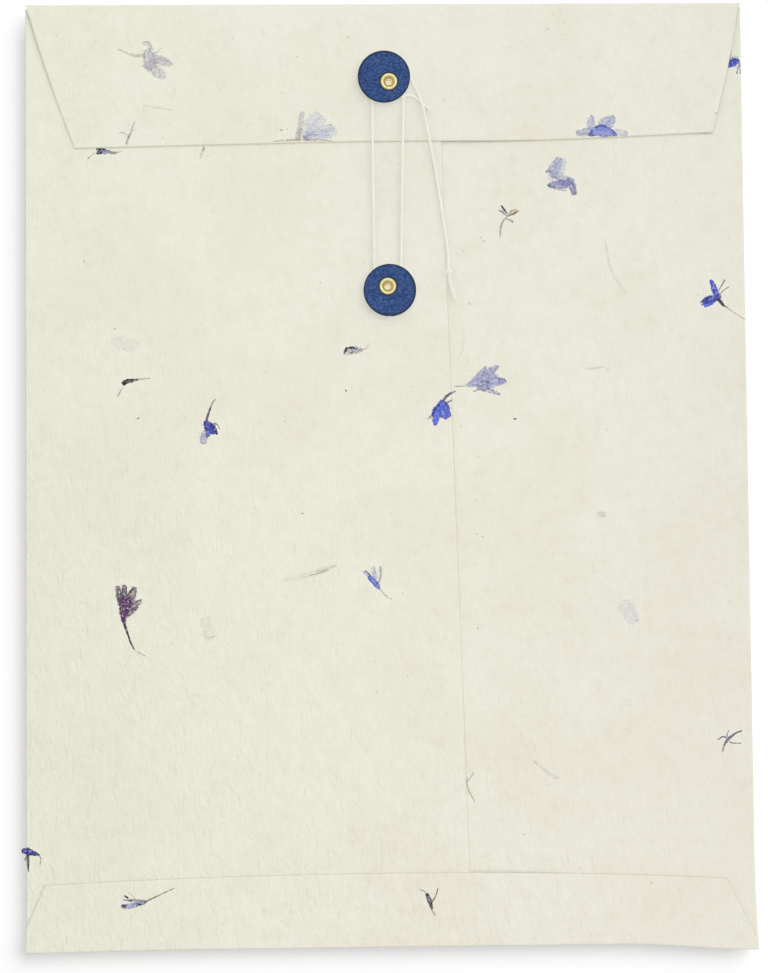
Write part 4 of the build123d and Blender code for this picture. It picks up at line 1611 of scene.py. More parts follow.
POCKET_FLORETS = [
    ((122.5, 142.1), [
        (ASH, 0.3, [(-3, 13, 1.4), (-3, 7, 1.8)]),
        (LAVENDER, 0.55, [(-3, 4, 3), (1, 6, 4), (4, 5, 2)]),
        (DEEP_BLUE, 1.0, [(-6, -3.5, 2), (-2, 0, 7), (2, 2, 6), (5, 1, 2.5)]),
        (SKY_BLUE, 0.7, [(-3, -4, 1.6), (2, -2, 2.4)]),
        (NIGHT_BLUE, 0.9, [(-4, 9, 1), (-5, 3, 1.8), (-6.5, -4, 1.4)]),
        (LILAC, 0.8, [(4.5, 1, 2), (5.5, -3, 2), (5.5, -5, 1)]),
        (SLATE, 0.75, [(4, -4, 1.2), (3, -8, 1.4), (2.5, -11, 1)]),
        (SLATE, 0.65, [(6, -6, 1), (5.8, -11, 1)]),
    ]),
    ((61.2, 101.8), [
        (LAVENDER, 0.5, [(-9, 3, 9), (-2, -1, 10), (6, -4, 10)]),
        (LAVENDER, 0.75, [(-8, 3, 9), (-5, 12, 11), (-1, 19, 6)]),
        (HAZE, 0.6, [(-3, 3, 8), (1, 13, 8), (2, 19, 4)]),
        (STEEL, 0.4, [(-7, 4, 1), (-6, 10, 1.4), (-3, 17, 0.9)]),
        (STEEL, 0.4, [(-4, 5, 1), (-1, 11, 1.2), (0, 16, 0.9)]),
        (STEEL, 0.8, [(-15, 6, 1.6), (-13, 8, 2.2), (-9, 6, 1.8)]),
        (LILAC, 0.8, [(-12, -7, 4), (-3, -7, 8), (5, -6, 9), (9, -3, 6)]),
        (LILAC, 0.85, [(9, -2, 6), (12, -9, 6.5), (13, -16, 5)]),
        (LILAC, 0.7, [(1, -6, 4), (6, -5, 5)]),
        (SLATE, 0.7, [(-6, 1, 1), (0, -3, 1.3), (5, -6, 1)]),
        (SLATE, 0.7, [(-14, -7, 1.2), (-11, -8, 2), (-8, -8, 1)]),
        (SLATE, 0.55, [(-11, -9, 1), (-3, -12, 1.2), (5, -13, 0.9)]),
        (SLATE, 0.6, [(10, -4, 1), (14, -11, 1.2), (14, -16, 1)]),
        (SLATE, 0.5, [(6, -8, 1), (10, -12, 1.2), (12, -16, 0.9)]),
    ]),
    ((42.5, 88.6), [
        (ASH, 0.75, [(-1, -1, 1.8), (-5, -5, 1.9), (-7, -10, 1.7), (-8, -17, 1.4), (-8, -22, 0.7)]),
        (STEEL, 0.7, [(-9, 6, 1.1), (-5, 4, 2.3), (-1, 0, 1.4)]),
        (INK, 0.95, [(-6.4, 10.6, 1), (-4, 7, 2.1), (-1, 3, 1.1)]),
        (AMBER, 0.6, [(1, 1, 2), (5, 4, 6), (10, 5, 2.5)]),
        (UMBER, 0.5, [(2, 3, 0.8), (5, 6, 1), (9, 5.2, 0.8)]),
        (UMBER, 0.85, [(0, 0, 1.6), (6, 2.5, 1.4), (11, 4.8, 0.8)]),
        (STEEL, 0.75, [(-1, -3, 1.1), (2, -4, 2.2), (5, -6, 1.6)]),
    ]),
    ((115.5, 59.4), [
        (TAN, 0.6, [(5, -7, 1.5), (12, -12, 1.3), (20, -18, 1.2), (27, -22, 0.9)]),
        (SLATE, 0.7, [(5, -7, 1.6), (9, -10, 1.2)]),
        (BLUE, 0.95, [(-3, -2, 3), (-9, -6, 4.6), (-14, -8, 2)]),
        (DEEP_BLUE, 1.0, [(-1, 0, 4), (-8, -1, 7), (-15, -4, 4.5)]),
        (DEEP_BLUE, 0.95, [(-12, -3, 2.2), (-18, -4.5, 1.2)]),
        (DEEP_BLUE, 0.95, [(-12, -5, 2), (-17, -7, 1)]),
        (BLUE, 1.0, [(-1, 2, 5), (-4, 10, 5.5), (-7, 18, 2.6)]),
        (DEEP_BLUE, 0.95, [(-3, 1, 5), (2, 1, 4)]),
        (NIGHT_BLUE, 0.8, [(-2, 4, 0.9), (-6, 12, 1), (-7.4, 18, 1.2)]),
        (NIGHT_BLUE, 0.5, [(0, 5, 0.8), (-3, 12, 0.9), (-6, 18, 0.8)]),
        (NIGHT_BLUE, 0.8, [(-3, 2, 1), (-10, 0, 1.3), (-17, -3, 1.2)]),
        (NIGHT_BLUE, 0.6, [(-4, -2, 0.9), (-10, -3, 1.1), (-16, -6, 1)]),
        (INK, 0.95, [(-1, -1, 2.6), (3, -4, 3.8), (5.4, -8.4, 1.5)]),
        (UMBER, 0.75, [(1, 8, 0.9), (4, 13, 1.1), (7, 18, 1.3)]),
        (UMBER, 0.7, [(2, 4, 0.8), (7, 9, 1), (11, 11, 0.8)]),
    ]),
    ((-11.1, 42.1), [
        (STEEL, 0.62, [(-7, -1, 5.5), (-2, 0, 7), (3, 0, 5.5), (7, 0, 3)]),
        (LAVENDER, 0.5, [(-3, -1, 2), (2, 1, 2.4)]),
        (INK, 0.95, [(-11, -4, 1.5), (-9, 0, 2.9), (-8, 2.4, 1.5)]),
        (INK, 0.9, [(-6, 2, 1.6), (-2, 2.4, 2.4), (0, 1.4, 1.2)]),
        (INK, 0.65, [(-5, -3, 1), (-2, -2.4, 1.7), (0, -1, 1)]),
        (INK, 0.55, [(1.5, 0.6, 1.2), (4, -0.6, 1.5)]),
        (STRAW, 0.6, [(6, 0, 1.5), (11, 1, 1.2), (14, 6, 0.8)]),
        (ASH, 0.45, [(-9, -5, 0.8), (1, -3.4, 0.8)]),
    ]),
    ((-89.7, 31.5), [
        (OLIVE, 0.5, [(9, 2, 2.2), (16, 3, 1.6), (22, 3.5, 0.9)]),
        (BARK, 0.72, [(2, 1, 3.2), (6, 1.5, 3.2), (10, 2, 2)]),
        (BARK, 0.97, [(-5, -2, 3.8), (-2, 0.5, 4.2), (4, 1.5, 3)]),
        (BARK, 0.8, [(3, 2.4, 0.9), (6, 2.6, 0.8)]),
        (ASH, 0.7, [(-5, -5.5, 0.9), (-7.5, -9, 1.1), (-10, -14, 1.3)]),
    ]),
    ((-61.5, 15.3), [
        (UMBER, 0.7, [(5.5, 29, 0.9), (2, 24, 1.4), (0, 19, 1.6)]),
        (INK, 0.92, [(1, 21, 1.5), (-2, 13, 1.9), (-4, 6, 2.4)]),
        (LAVENDER, 0.6, [(-4, -4, 5), (-6, -9, 8), (-7, -15, 5)]),
        (STEEL, 0.6, [(-5, -5, 0.9), (-8.4, -10, 1), (-9, -14, 1), (-7, -16, 0.9), (-4, -13, 0.8)]),
        (STEEL, 0.5, [(-4, -6, 1.2), (-6, -10, 1.4), (-7, -13, 1)]),
        (DEEP_BLUE, 1.0, [(-4, 7, 3.4), (-2, 2, 8), (3, -2, 8), (6, -5, 3)]),
        (NIGHT_BLUE, 0.8, [(-4.4, 5, 2.2), (-5, 0, 2.4), (-4, -3, 1.6)]),
        (DEEP_BLUE, 0.95, [(1, 0, 5), (-1, -5, 5), (-3, -9, 2)]),
        (NIGHT_BLUE, 0.6, [(-2, 5, 0.9), (1, 0, 1.2), (0, -6, 0.9)]),
        (INK, 0.85, [(-0.6, -6, 1), (-2.6, -9.4, 1.5)]),
        (INK, 0.9, [(2, 3, 1.2), (6, -3, 2.3), (7, -6, 1.8)]),
        (OLIVE, 0.8, [(2, 4, 1), (5, 5, 1.2), (8, 3, 1), (9.5, -1, 0.8)]),
    ]),
    ((-90.7, -47.9), [
        (ASH, 0.7, [(7, -36, 1.1), (13, -41, 0.9), (19, -43.5, 0.6)]),
        (DARK_PLUM, 1.0, [(-3, -6, 3.4), (-1, -14, 2.4), (1.4, -21, 1.8), (4.4, -30, 1.4), (8, -37, 1.1)]),
        (GREY_PLUM, 0.85, [(-5, 7, 5), (-7, 17, 6), (-8, 25, 4)]),
        (GREY_PLUM, 0.85, [(-2, 9, 6), (-2, 18, 6), (-1, 26, 4)]),
        (GREY_PLUM, 0.8, [(3, 8, 7), (6, 16, 8), (9, 24, 4)]),
        (GREY_PLUM, 0.72, [(4, 3, 6), (10, 8, 6), (15, 11, 3)]),
        (PLUM, 0.8, [(1, -3, 4), (7, 1, 5), (12, 5, 2)]),
        (PLUM, 0.95, [(-3, -9, 3.4), (-1.4, 0, 9), (-0.6, 8, 12), (0, 13, 11)]),
        (DARK_PLUM, 0.8, [(-4, -6, 1), (-6, 6, 1), (-7.4, 17, 1), (-8.4, 25, 0.9)]),
        (DARK_PLUM, 0.6, [(-3, 4, 0.9), (-4, 15, 1), (-2, 26, 0.9)]),
        (DARK_PLUM, 0.6, [(0, 6, 0.9), (1.4, 16, 1), (0, 26, 0.9)]),
        (DARK_PLUM, 0.9, [(2, 17, 1.4), (5, 21, 2.2), (9, 24, 1.1)]),
        (DARK_PLUM, 0.45, [(4, 7, 0.8), (9.6, 16, 1), (10.4, 22, 0.8)]),
        (DARK_PLUM, 0.65, [(4, 5, 0.9), (10, 9.6, 1.1), (16, 12, 0.8)]),
        (DARK_PLUM, 0.5, [(1, -4, 0.9), (6, -0.6, 1), (12, 4, 0.8)]),
        (DARK_PLUM, 0.5, [(-2, -5, 0.9), (-3, 6, 1), (-5, 18, 0.8)]),
        (DARK_PLUM, 0.5, [(-1, -4, 0.9), (2, 8, 1), (6, 17, 0.8)]),
        (HAZE, 0.45, [(0, -9, 1.4), (1, -14, 1.6), (1.6, -18, 0.8)]),
    ]),
    ((-3.9, -38.4), [
        (STRAW, 0.55, [(2, -7, 1.3), (6, -12, 1.1), (10, -16, 0.9), (14, -17, 0.6)]),
        (HAZE, 0.75, [(-2, 4, 4), (-4, 9, 5), (-4.5, 15, 3)]),
        (STEEL, 0.35, [(-2, 5, 0.9), (-3.6, 10, 1.1), (-4.4, 14, 0.8)]),
        (ASH, 0.75, [(1, 0, 1.6), (3, 7, 2.1), (2.5, 15, 1.5)]),
        (LAVENDER, 0.75, [(-8, 5, 3), (-12, 9, 3), (-15, 10.5, 1.2)]),
        (SKY_BLUE, 1.0, [(1, -6.5, 2.4), (-3, -1, 4.6), (-8.4, 5, 3.8)]),
        (DEEP_BLUE, 0.7, [(1, -6.6, 0.9), (-4.4, -2, 1), (-9.4, 4, 0.9)]),
        (DEEP_BLUE, 0.6, [(2, -3, 0.9), (-2.4, 3, 1), (-6, 6, 0.8)]),
        (INK, 0.8, [(-7, 6, 0.9), (-9.4, 9, 1.2), (-12, 11.4, 0.8)]),
    ]),
    ((18.8, 21.7), [
        (SLATE, 0.9, [(14, 17, 0.9), (8, 14, 2.2), (4, 11, 2.5), (1, 7, 2.4)]),
        (BLUE, 1.0, [(1, 7, 4), (-1, 0, 10), (-2, -6, 12)]),
        (BLUE, 1.0, [(-3, 2, 4), (-6, -4, 7), (-8, -8, 5)]),
        (BLUE, 1.0, [(3, 3, 5), (6, -4, 7), (7, -8, 5)]),
        (SKY_BLUE, 0.95, [(1, -3, 6), (3, -9, 5), (4, -11, 2)]),
        (BLUE, 1.0, [(-4, -4, 7), (-6, -10, 7), (-7, -17, 2.4)]),
        (SKY_BLUE, 0.6, [(-3, -7, 2), (-4, -11, 2.4), (-5, -15, 1.6)]),
        (DEEP_BLUE, 0.6, [(1, 4, 0.8), (-2, -5, 1), (-5, -13, 0.8)]),
        (DEEP_BLUE, 0.55, [(2, 4, 0.8), (3, -5, 1), (4, -10, 0.8)]),
        (NIGHT_BLUE, 0.85, [(1, 8, 1.2), (-6, 0, 1.2), (-10, -7, 1.2), (-13, -9, 0.8)]),
        (NIGHT_BLUE, 0.8, [(4, 6, 1.1), (6, -1, 1.1), (8.4, -5, 1.2), (8.6, -9, 0.9)]),
        (NIGHT_BLUE, 0.65, [(-1, -8, 0.8), (3, -11.5, 1), (7, -10, 0.9)]),
        (STEEL, 0.6, [(-10, -9, 1.8), (-13, -10.5, 1.8), (-15, -11, 0.9)]),
        (SLATE, 0.85, [(4, 5, 1.9), (7, 6, 1.6), (10, 8, 1.2)]),
    ]),
    ((32.8, 30.6), [
        (ASH, 0.65, [(-28, -4, 0.8), (-19, -4, 1.2), (-12, -2, 1.9)]),
        (LAVENDER, 0.7, [(-14, -3, 3), (-8, -1, 7), (-2, 0, 10)]),
        (LAVENDER, 0.6, [(-12, -2, 3), (-3, 1, 13), (8, 2, 16), (15, 2, 9)]),
        (LAVENDER, 0.7, [(-4, 4, 6), (2, 11, 6), (4, 15.5, 2)]),
        (LAVENDER, 0.75, [(1, 4, 7), (9, 11, 8), (16, 16, 3)]),
        (LAVENDER, 0.72, [(6, 0, 8), (15, 1, 8), (23, 1, 4)]),
        (LAVENDER, 0.6, [(8, -4, 4), (15, -3, 3), (21, -2, 1)]),
        (LILAC, 0.7, [(-4, -5, 4), (6, -8, 5), (18, -12, 2)]),
        (LILAC, 0.75, [(0, -1, 6), (7, -1, 5)]),
        (LILAC, 0.75, [(18, 1, 5), (24, 0.5, 3)]),
        (SLATE, 0.6, [(5, 0, 1.4), (7, -1.4, 2.4), (9, -1, 1.2)]),
        (SLATE, 0.55, [(1, 6, 0.9), (3, 14, 1), (4, 16, 0.8)]),
        (SLATE, 0.55, [(8, 6, 0.9), (13, 13, 1.1), (16, 16, 1.3)]),
        (STEEL, 0.5, [(3, 5, 0.8), (8, 12, 1), (12, 15, 0.8)]),
        (STEEL, 0.5, [(-12, -2, 0.9), (-2, 3, 1), (4, 9, 0.8)]),
        (STEEL, 0.5, [(-12, -3, 0.9), (-2, -3, 1), (10, -3, 0.8)]),
        (SLATE, 0.5, [(-2, -7, 0.9), (8, -10.5, 1), (18, -13, 0.8)]),
        (SLATE, 0.6, [(6, -6.6, 1.6), (11, -8.4, 1.8)]),
        (SLATE, 0.45, [(12, 3.6, 0.8), (18, 3.4, 1), (24, 1.4, 0.8)]),
        (ASH, 0.7, [(-8, -9, 1.4), (-3, -7.5, 0.9)]),
    ]),
    ((116.4, -93.6), [
        (STRAW, 0.7, [(-4, -6, 1.9), (-5, -10, 1.9), (-6, -13, 1.1)]),
        (SLATE, 0.97, [(-4, -6, 1.5), (0, 0, 2.7), (5, 4, 1.9), (10, 7, 1.4), (14, 8, 1.1)]),
        (LAVENDER, 0.5, [(-2, -3, 1), (1, 0, 1.4), (3, 1, 1)]),
        (SLATE, 0.7, [(-1, 2, 1.2), (-1, 5, 1.1), (1, 8.5, 0.8)]),
        (SLATE, 0.85, [(-2, 1, 1.5), (-4, 3, 1.4), (-8, 1, 1.2), (-10, -0.5, 0.8)]),
        (SLATE, 0.8, [(2, -3, 1.2), (6, -4.5, 1.2), (13, -4, 0.9)]),
    ]),
    ((26.4, -107.7), [
        (ASH, 0.6, [(6, 10, 0.9), (2, 4, 1.1), (-1, 1, 1)]),
        (ASH, 0.65, [(-1, 6, 0.9), (-1, 1, 1), (-0.5, -5, 1.5), (3, -12, 1.2), (7, -19, 0.7)]),
    ]),
    ((-124.4, -129.9), [
        (NIGHT_BLUE, 1.0, [(-5, 2.8, 4), (-1, 2, 6), (5, 0, 4.6), (11, -2, 1.4)]),
        (DEEP_BLUE, 0.75, [(-4, 2.4, 2.4), (0, 1.6, 3.4), (6, -0.2, 2)]),
        (NIGHT_BLUE, 0.85, [(-5.5, 4, 0.9), (-1, 4.4, 1.2), (4, 2.4, 1.1), (11, -1.6, 1)]),
        (NIGHT_BLUE, 0.75, [(-5, 0.4, 1), (0, -1, 1.6), (6, -2.2, 1.1)]),
        (SLATE, 0.75, [(11, -2, 1.3), (13, -5, 1.1), (12, -11, 0.8)]),
        (INK, 0.95, [(0, -2, 2.6), (0, -8, 2.5), (0.5, -18, 0.8)]),
        (INK, 0.8, [(-2, -4, 1), (-3, -7, 1.2)]),
    ]),
    ((-98.1, 112.1), [
        (ASH, 0.65, [(-15, -7.5, 1.3), (-12, -5, 0.9), (-8, -2, 0.7)]),
        (OLIVE, 0.85, [(7, -1, 2.4), (10, -2.5, 3), (14, -1.5, 1.3)]),
        (STRAW, 0.4, [(14, -1.5, 1.2), (19, -0.5, 1)]),
        (LILAC, 0.8, [(-2, -1, 4.4), (3, -1, 4.2), (7, -0.5, 2.4)]),
        (SLATE, 0.6, [(1, -1, 1), (4, 0.4, 1.4), (6, -0.6, 1)]),
        (INK, 0.92, [(-6, 1.8, 1.9), (2, 1.6, 1.8)]),
        (INK, 0.97, [(-6, -2, 3), (-3, -1, 4), (0, -1, 2)]),
    ]),
    ((-64.1, 111.6), [
        (STRAW, 0.35, [(3, 4, 2.4), (1, -1, 2.6), (-1, -6, 1.6)]),
        (OLIVE, 0.55, [(3.2, 5, 1.4), (2, 1, 1.4)]),
    ]),
    ((77.6, 71.5), [(ASH, 0.2, [(-4, 24, 3), (-2, 14, 2.2), (1, -6, 2), (11, -21, 2), (17, -30, 1.2)])]),
    ((-26.6, -34.7), [
        (STRAW, 0.2, [(-12, -5, 4), (0, -2, 6), (13, 2, 6), (24, 6, 3)]),
        (OLIVE, 0.6, [(-2, -3.5, 0.8), (6, -1.5, 1.2), (16, 2, 0.8)]),
        (OLIVE, 0.35, [(4, 0, 0.8), (13, 2.4, 1), (24, 6, 0.6)]),
        (STRAW, 0.1, [(-29, -8, 3), (-16, -6, 3.4)]),
    ]),
    ((-62.2, -53.7), [
        (BISQUE, 0.16, [(-4, 8, 10), (-1, -1, 11), (1, -10, 10)]),
        (STRAW, 0.1, [(-8, 8, 0.9), (-6, -1, 1), (-3, -10, 0.8)]),
        (STRAW, 0.1, [(-8, 8, 0.8), (-2, 10.4, 1), (3, 11, 0.8)]),
        (STRAW, 0.3, [(-2, -9, 1.2), (2, -9, 2), (6, -8, 1.2)]),
    ]),
    ((74.3, 35.5), [
        (ASH, 0.26, [(-16, -2, 1.6), (-5, -1, 2.4), (2, 0, 1.6)]),
        (ASH, 0.2, [(6, -2, 1.6), (9, -3, 1.6)]),
    ]),
    ((73.9, -15.6), [(ASH, 0.3, [(-4, 1, 4), (0, 0, 6), (3, -2, 4)])]),
    ((82.8, -49.5), [
        (MILK, 0.3, [(-5, 10, 8), (0, 0, 13), (4, -10, 9)]),
        (ASH, 0.18, [(-10, 5, 4), (-9, 2, 4)]),
        (HAZE, 0.2, [(3, 9, 3), (6, 0, 4), (7, -10, 3)]),
    ]),
    ((-90.7, 44.7), [(PEARL, 0.2, [(-12, 3, 8), (0, 0, 14), (12, -3, 8)])]),
    ((54.1, -102.9), [(ASH, 0.22, [(-14, 7, 2), (-5, -1, 2), (4, -8, 4), (10, -10, 3)])]),
    ((25.0, 45.6), [(STRAW, 0.11, [(-4, 17, 1), (3, 11, 1.2), (6, 1, 1.2), (4, -11, 1), (0, -18, 0.8)])]),
    ((44.1, 17.7), [(UMBER, 0.85, [(-1, 0, 1.3), (1, 0, 1.5)])]),
    ((-86.3, 18.6), [(UMBER, 0.75, [(-1, 0, 1), (1, 1, 1.3)])]),
    ((-14.4, 27.8), [(UMBER, 0.75, [(0, -1, 1), (0, 1, 1.3)])]),
    ((-29.6, -14.7), [(UMBER, 0.65, [(-1, 1, 1), (1, 0, 1)])]),
]

BOTTOM_FLORETS = [
    ((12.9, -147.4), [
        (ASH, 0.6, [(-2, 6, 1.8), (-6, 9, 1.8), (-10, 10.5, 0.9)]),
        (OLIVE, 0.75, [(2, -10, 1.4), (5, -15, 0.8)]),
        (INK, 0.95, [(-3, 6, 2.4), (-1, 1, 4.2), (1, -4, 3.4), (2, -10, 1.2)]),
        (SLATE, 0.5, [(-2, 5, 0.7), (0, 0, 0.8), (1, -6, 0.6)]),
        (UMBER, 0.85, [(2, -2, 1), (5, 2, 1.1), (7, 7, 1), (8, 11, 0.9)]),
    ]),
    ((-86.2, -147.2), [
        (OLIVE, 0.85, [(5, 1.2, 2), (11, 3.6, 1.5), (18, 7, 1.2), (27, 11, 0.9), (34, 14, 0.7)]),
        (LILAC, 0.8, [(-18, -3, 3.4), (-12, -3.5, 4.5), (-3, -1.5, 4.5), (6, 1, 2.5)]),
        (STEEL, 0.75, [(-16, 3, 1.2), (-9, 2.5, 2.6), (0, 2, 3.2), (6, 1, 1.6)]),
        (LAVENDER, 0.5, [(-13, -3, 1.4), (-6, -2, 1.6), (2, 1, 1.4)]),
        (SLATE, 0.6, [(-16, -5.4, 0.8), (-8, -4.4, 1), (2, -1.4, 0.8)]),
        (INK, 0.85, [(-17.5, -2.5, 2.2), (-15, -3, 2.6)]),
        (INK, 0.85, [(-2.6, -1, 1.8), (0, -1.6, 2.2)]),
        (INK, 0.75, [(4.6, 1, 1.6), (7, 1.6, 1.6)]),
        (INK, 0.6, [(-11, 2.4, 1.2), (-8, 2.2, 1.4)]),
        (INK, 0.9, [(-15, 7, 1.5), (-12, 5, 1.6)]),
        (ASH, 0.45, [(-12, 11, 0.8), (-4, 4, 0.8)]),
    ]),
]

# How strokes are laid. Widths are in drawing steps, and heights in millimetres
STROKE_SIDES = (-1.0, -0.5, 0.0, 0.5, 1.0)
STROKE_STEPS = 6
STROKE_END_SHARE = 0.4
STACK_STEP = 0.004
PETAL_THICKNESS = 0.012
PETAL_WIDTH = 2.6
PETAL_MARGIN_SHARE = 1.4
LINE_MARGIN_SHARE = 1.15
LINE_RIM_SHARE = 0.72
RAG_SHARE = 0.3
RAG_PITCH = 0.45
BLUNT_LEAST = 0.2
SEED_STEP = 7.3


def smooth_stroke(points):
    """Points along a smooth curve that ends a little past a stroke's own ends."""
    points = [Vector(point) for point in points]
    for end, before in ((0, 1), (-1, -2)):
        way = (points[end] - points[before]).to_2d().normalized()
        points[end].xy += way * STROKE_END_SHARE * points[end].z
    guide = [points[0], *points, points[-1]]
    curve = []
    for first, middle, last in zip(guide, guide[1:], guide[2:]):
        for step in range(STROKE_STEPS):
            share = step / STROKE_STEPS
            curve.append(
                first * (1 - share) ** 2 / 2 + last * share ** 2 / 2
                + middle * (0.5 + share - share ** 2))
    curve.append(guide[-1] * 0.5 + guide[-2] * 0.5)
    return curve


def lay_stroke(bm, stroke, place, level, lift, seed):
    """One petal, stem or fibre, laid along its curve on the paper."""
    tint, cover, points = stroke
    settings = settings_of("envelope_petal")
    step = settings.step / MM
    curve = smooth_stroke(points)
    flat = [point.to_2d() for point in curve]
    runs = [0.0]
    for first, second in zip(flat, flat[1:]):
        runs.append(runs[-1] + (second - first).length)
    ways = [
        (flat[min(at + 1, len(flat) - 1)] - flat[max(at - 1, 0)]).normalized()
        for at in range(len(flat))
    ]
    is_petal = max(point[2] for point in points) > PETAL_WIDTH
    margin = PETAL_MARGIN_SHARE if is_petal else LINE_MARGIN_SHARE
    rim_share = 1.0 if is_petal else LINE_RIM_SHARE
    shown = 1 - sqrt(1 - min(1.0, cover * settings.strength))
    tint_layer = bm.verts.layers.float_color[TINT]
    way_layer = bm.verts.layers.float_vector[PETAL_WAY]
    rim_layer = bm.verts.layers.float[PETAL_RIM]

    def half_width(at, across):
        x, y, width = curve[at]
        ragged = 1 + RAG_SHARE * noise.noise(Vector((x * RAG_PITCH, y * RAG_PITCH, across * 2 + seed)))
        return width / 2 * ragged * margin

    def put(across, at):
        aside = half_width(at, across) * across
        x = place[0] + step * (flat[at].x - ways[at].y * aside)
        y = place[1] + step * (flat[at].y + ways[at].x * aside)
        return x, y, level(x, y) + lift

    def mark(vert, across, at):
        end_reach = min(runs[at], runs[-1] - runs[at])
        blunt = max(0.0, 1 - end_reach / (BLUNT_LEAST + curve[at].z / 2))
        vert[tint_layer] = (*tint, shown)
        vert[way_layer] = (step * runs[at], step * half_width(at, across) * across, seed)
        vert[rim_layer] = min(1.0, hypot(across, blunt)) * rim_share

    lay_grid(bm, STROKE_SIDES, range(len(curve)), put, mark)


def make_florets(name, body, florets, level):
    """The petals, stems and fibres that lie on one sheet."""
    settings = settings_of("envelope_petal")
    bm = bmesh.new()
    bm.verts.layers.float_color.new(TINT)
    bm.verts.layers.float_vector.new(PETAL_WAY)
    bm.verts.layers.float.new(PETAL_RIM)
    for place, strokes in florets:
        for order, stroke in enumerate(strokes):
            lift = settings.lift / MM + STACK_STEP * order
            lay_stroke(bm, stroke, place, level, lift, place[0] + SEED_STEP * order)
    bmesh.ops.recalc_face_normals(bm, faces=bm.faces)
    down = [face for face in bm.faces if face.normal.z < 0]
    bmesh.ops.reverse_faces(bm, faces=down)
    bmesh.ops.solidify(bm, geom=bm.faces[:], thickness=PETAL_THICKNESS)
    piece = new_piece(name, bm, "pressed_petals", SOFT_RIM)
    piece.visible_shadow = False
    piece.visible_diffuse = False
    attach(piece, body)


# Stage. The camera's place is in millimetres and its turn in degrees
CAMERA_PLACE = Vector((-19.564, -45.509, 799.43))
CAMERA_TURN = Vector((2.8992, -1.2902, -0.4927))
CAMERA_LENS = 85.0
CAMERA_SENSOR = 36.0
CAMERA_NEAR = 10.0
WHITE = (1, 1, 1)
FLOOR_REACH = 6000.0
SUN_WAY = Vector((0.63, 0.63, 1.0))


def seen_directly(shade):
    """1 for rays from the camera, a mirror or glass, otherwise 0."""
    rays = ("Is Camera Ray", "Is Glossy Ray", "Is Transmission Ray")
    return sum(shade.node("ShaderNodeLightPath", {}, {}, output=ray) for ray in rays).clamped()


def floor_finish():
    """White floor that keeps the shadow of the sun."""
    settings = settings_of("envelope_stage")
    material, shade = new_finish("white_floor")
    grey = settings.floor_grey
    glow = 1 - grey * (settings.floor_sun_level + settings.sky)
    lit = shade.node("ShaderNodeBsdfDiffuse", {}, {"Color": opaque((grey, grey, grey))})
    sockets = {"Color": opaque(WHITE), "Strength": seen_directly(shade) * glow}
    white = shade.node("ShaderNodeEmission", {}, sockets)
    shown = shade.node("ShaderNodeAddShader", {}, {0: lit, 1: white})
    shade.node("ShaderNodeOutputMaterial", {}, {"Surface": shown})
    return material


def add_sun(name, level, width, way):
    """A distant lamp that gives a level face the given share of plain light."""
    data = bpy.data.lights.new(name, "SUN")
    data.energy = level * pi / way.normalized().z
    data.angle = width
    sun = bpy.data.objects.new(name, data)
    sun.rotation_euler = way.to_track_quat("Z", "Y").to_euler()
    bpy.context.scene.collection.objects.link(sun)
    return sun


def linked(name, pieces, state):
    """A collection that names the pieces that a lamp reaches or passes by."""
    collection = bpy.data.collections.new(name)
    for piece in pieces:
        collection.objects.link(piece)
    for link in collection.collection_objects:
        link.light_linking.link_state = state
    return collection


def make_floor():
    """The floor, which the pieces lie on."""
    bm = bmesh.new()
    bmesh.ops.create_grid(bm, x_segments=1, y_segments=1, size=FLOOR_REACH * MM)
    mesh = bpy.data.meshes.new("floor")
    bm.to_mesh(mesh)
    bm.free()
    mesh.materials.append(floor_finish())
    floor = bpy.data.objects.new("floor", mesh)
    bpy.context.scene.collection.objects.link(floor)
    return floor


def make_sky():
    """A faint light from all round that shows as white."""
    level = settings_of("envelope_stage").sky
    world = bpy.data.worlds.new("sky")
    world.use_nodes = True
    world.node_tree.nodes.clear()
    shade = Shade(world.node_tree)
    colour = seen_directly(shade).mix(opaque((level, level, level)), opaque(WHITE))
    light = shade.node("ShaderNodeBackground", {}, {"Color": colour, "Strength": 1.0})
    shade.node("ShaderNodeOutputWorld", {}, {"Surface": light})
    bpy.context.scene.world = world


def make_lamps(floor):
    """A sun for the floor's shadow, and for the pieces a soft sun and a dome in two parts."""
    settings = settings_of("envelope_stage")
    floor_sun = add_sun("floor_sun", settings.floor_sun_level, settings.floor_sun_width, SUN_WAY)
    floor_sun.light_linking.receiver_collection = linked("floor_alone", [floor], "INCLUDE")
    sun = add_sun("soft_sun", settings.sun_level, settings.sun_width, SUN_WAY)
    off_floor = linked("off_floor", [floor], "EXCLUDE")
    sun.light_linking.receiver_collection = off_floor
    pieces = bpy.context.scene.objects
    string = [piece for piece in pieces if piece.name.startswith("cotton_")]
    for piece in string:
        piece.visible_diffuse = False
    buttons = [piece for piece in pieces if piece.name.endswith(("_disc", "_brass_eyelet"))]
    upper_spacer = frame["nodes"]["upper_spacer"]
    near_level = settings.dome_level * settings.string_shade
    for name, level, passed in (
            ("near_dome", near_level, buttons),
            ("open_dome", settings.dome_level - near_level, [*buttons, *string, upper_spacer])):
        dome = add_sun(name, level, pi, UP)
        dome.light_linking.receiver_collection = off_floor
        dome.light_linking.blocker_collection = linked(f"{name}_passes", passed, "EXCLUDE")


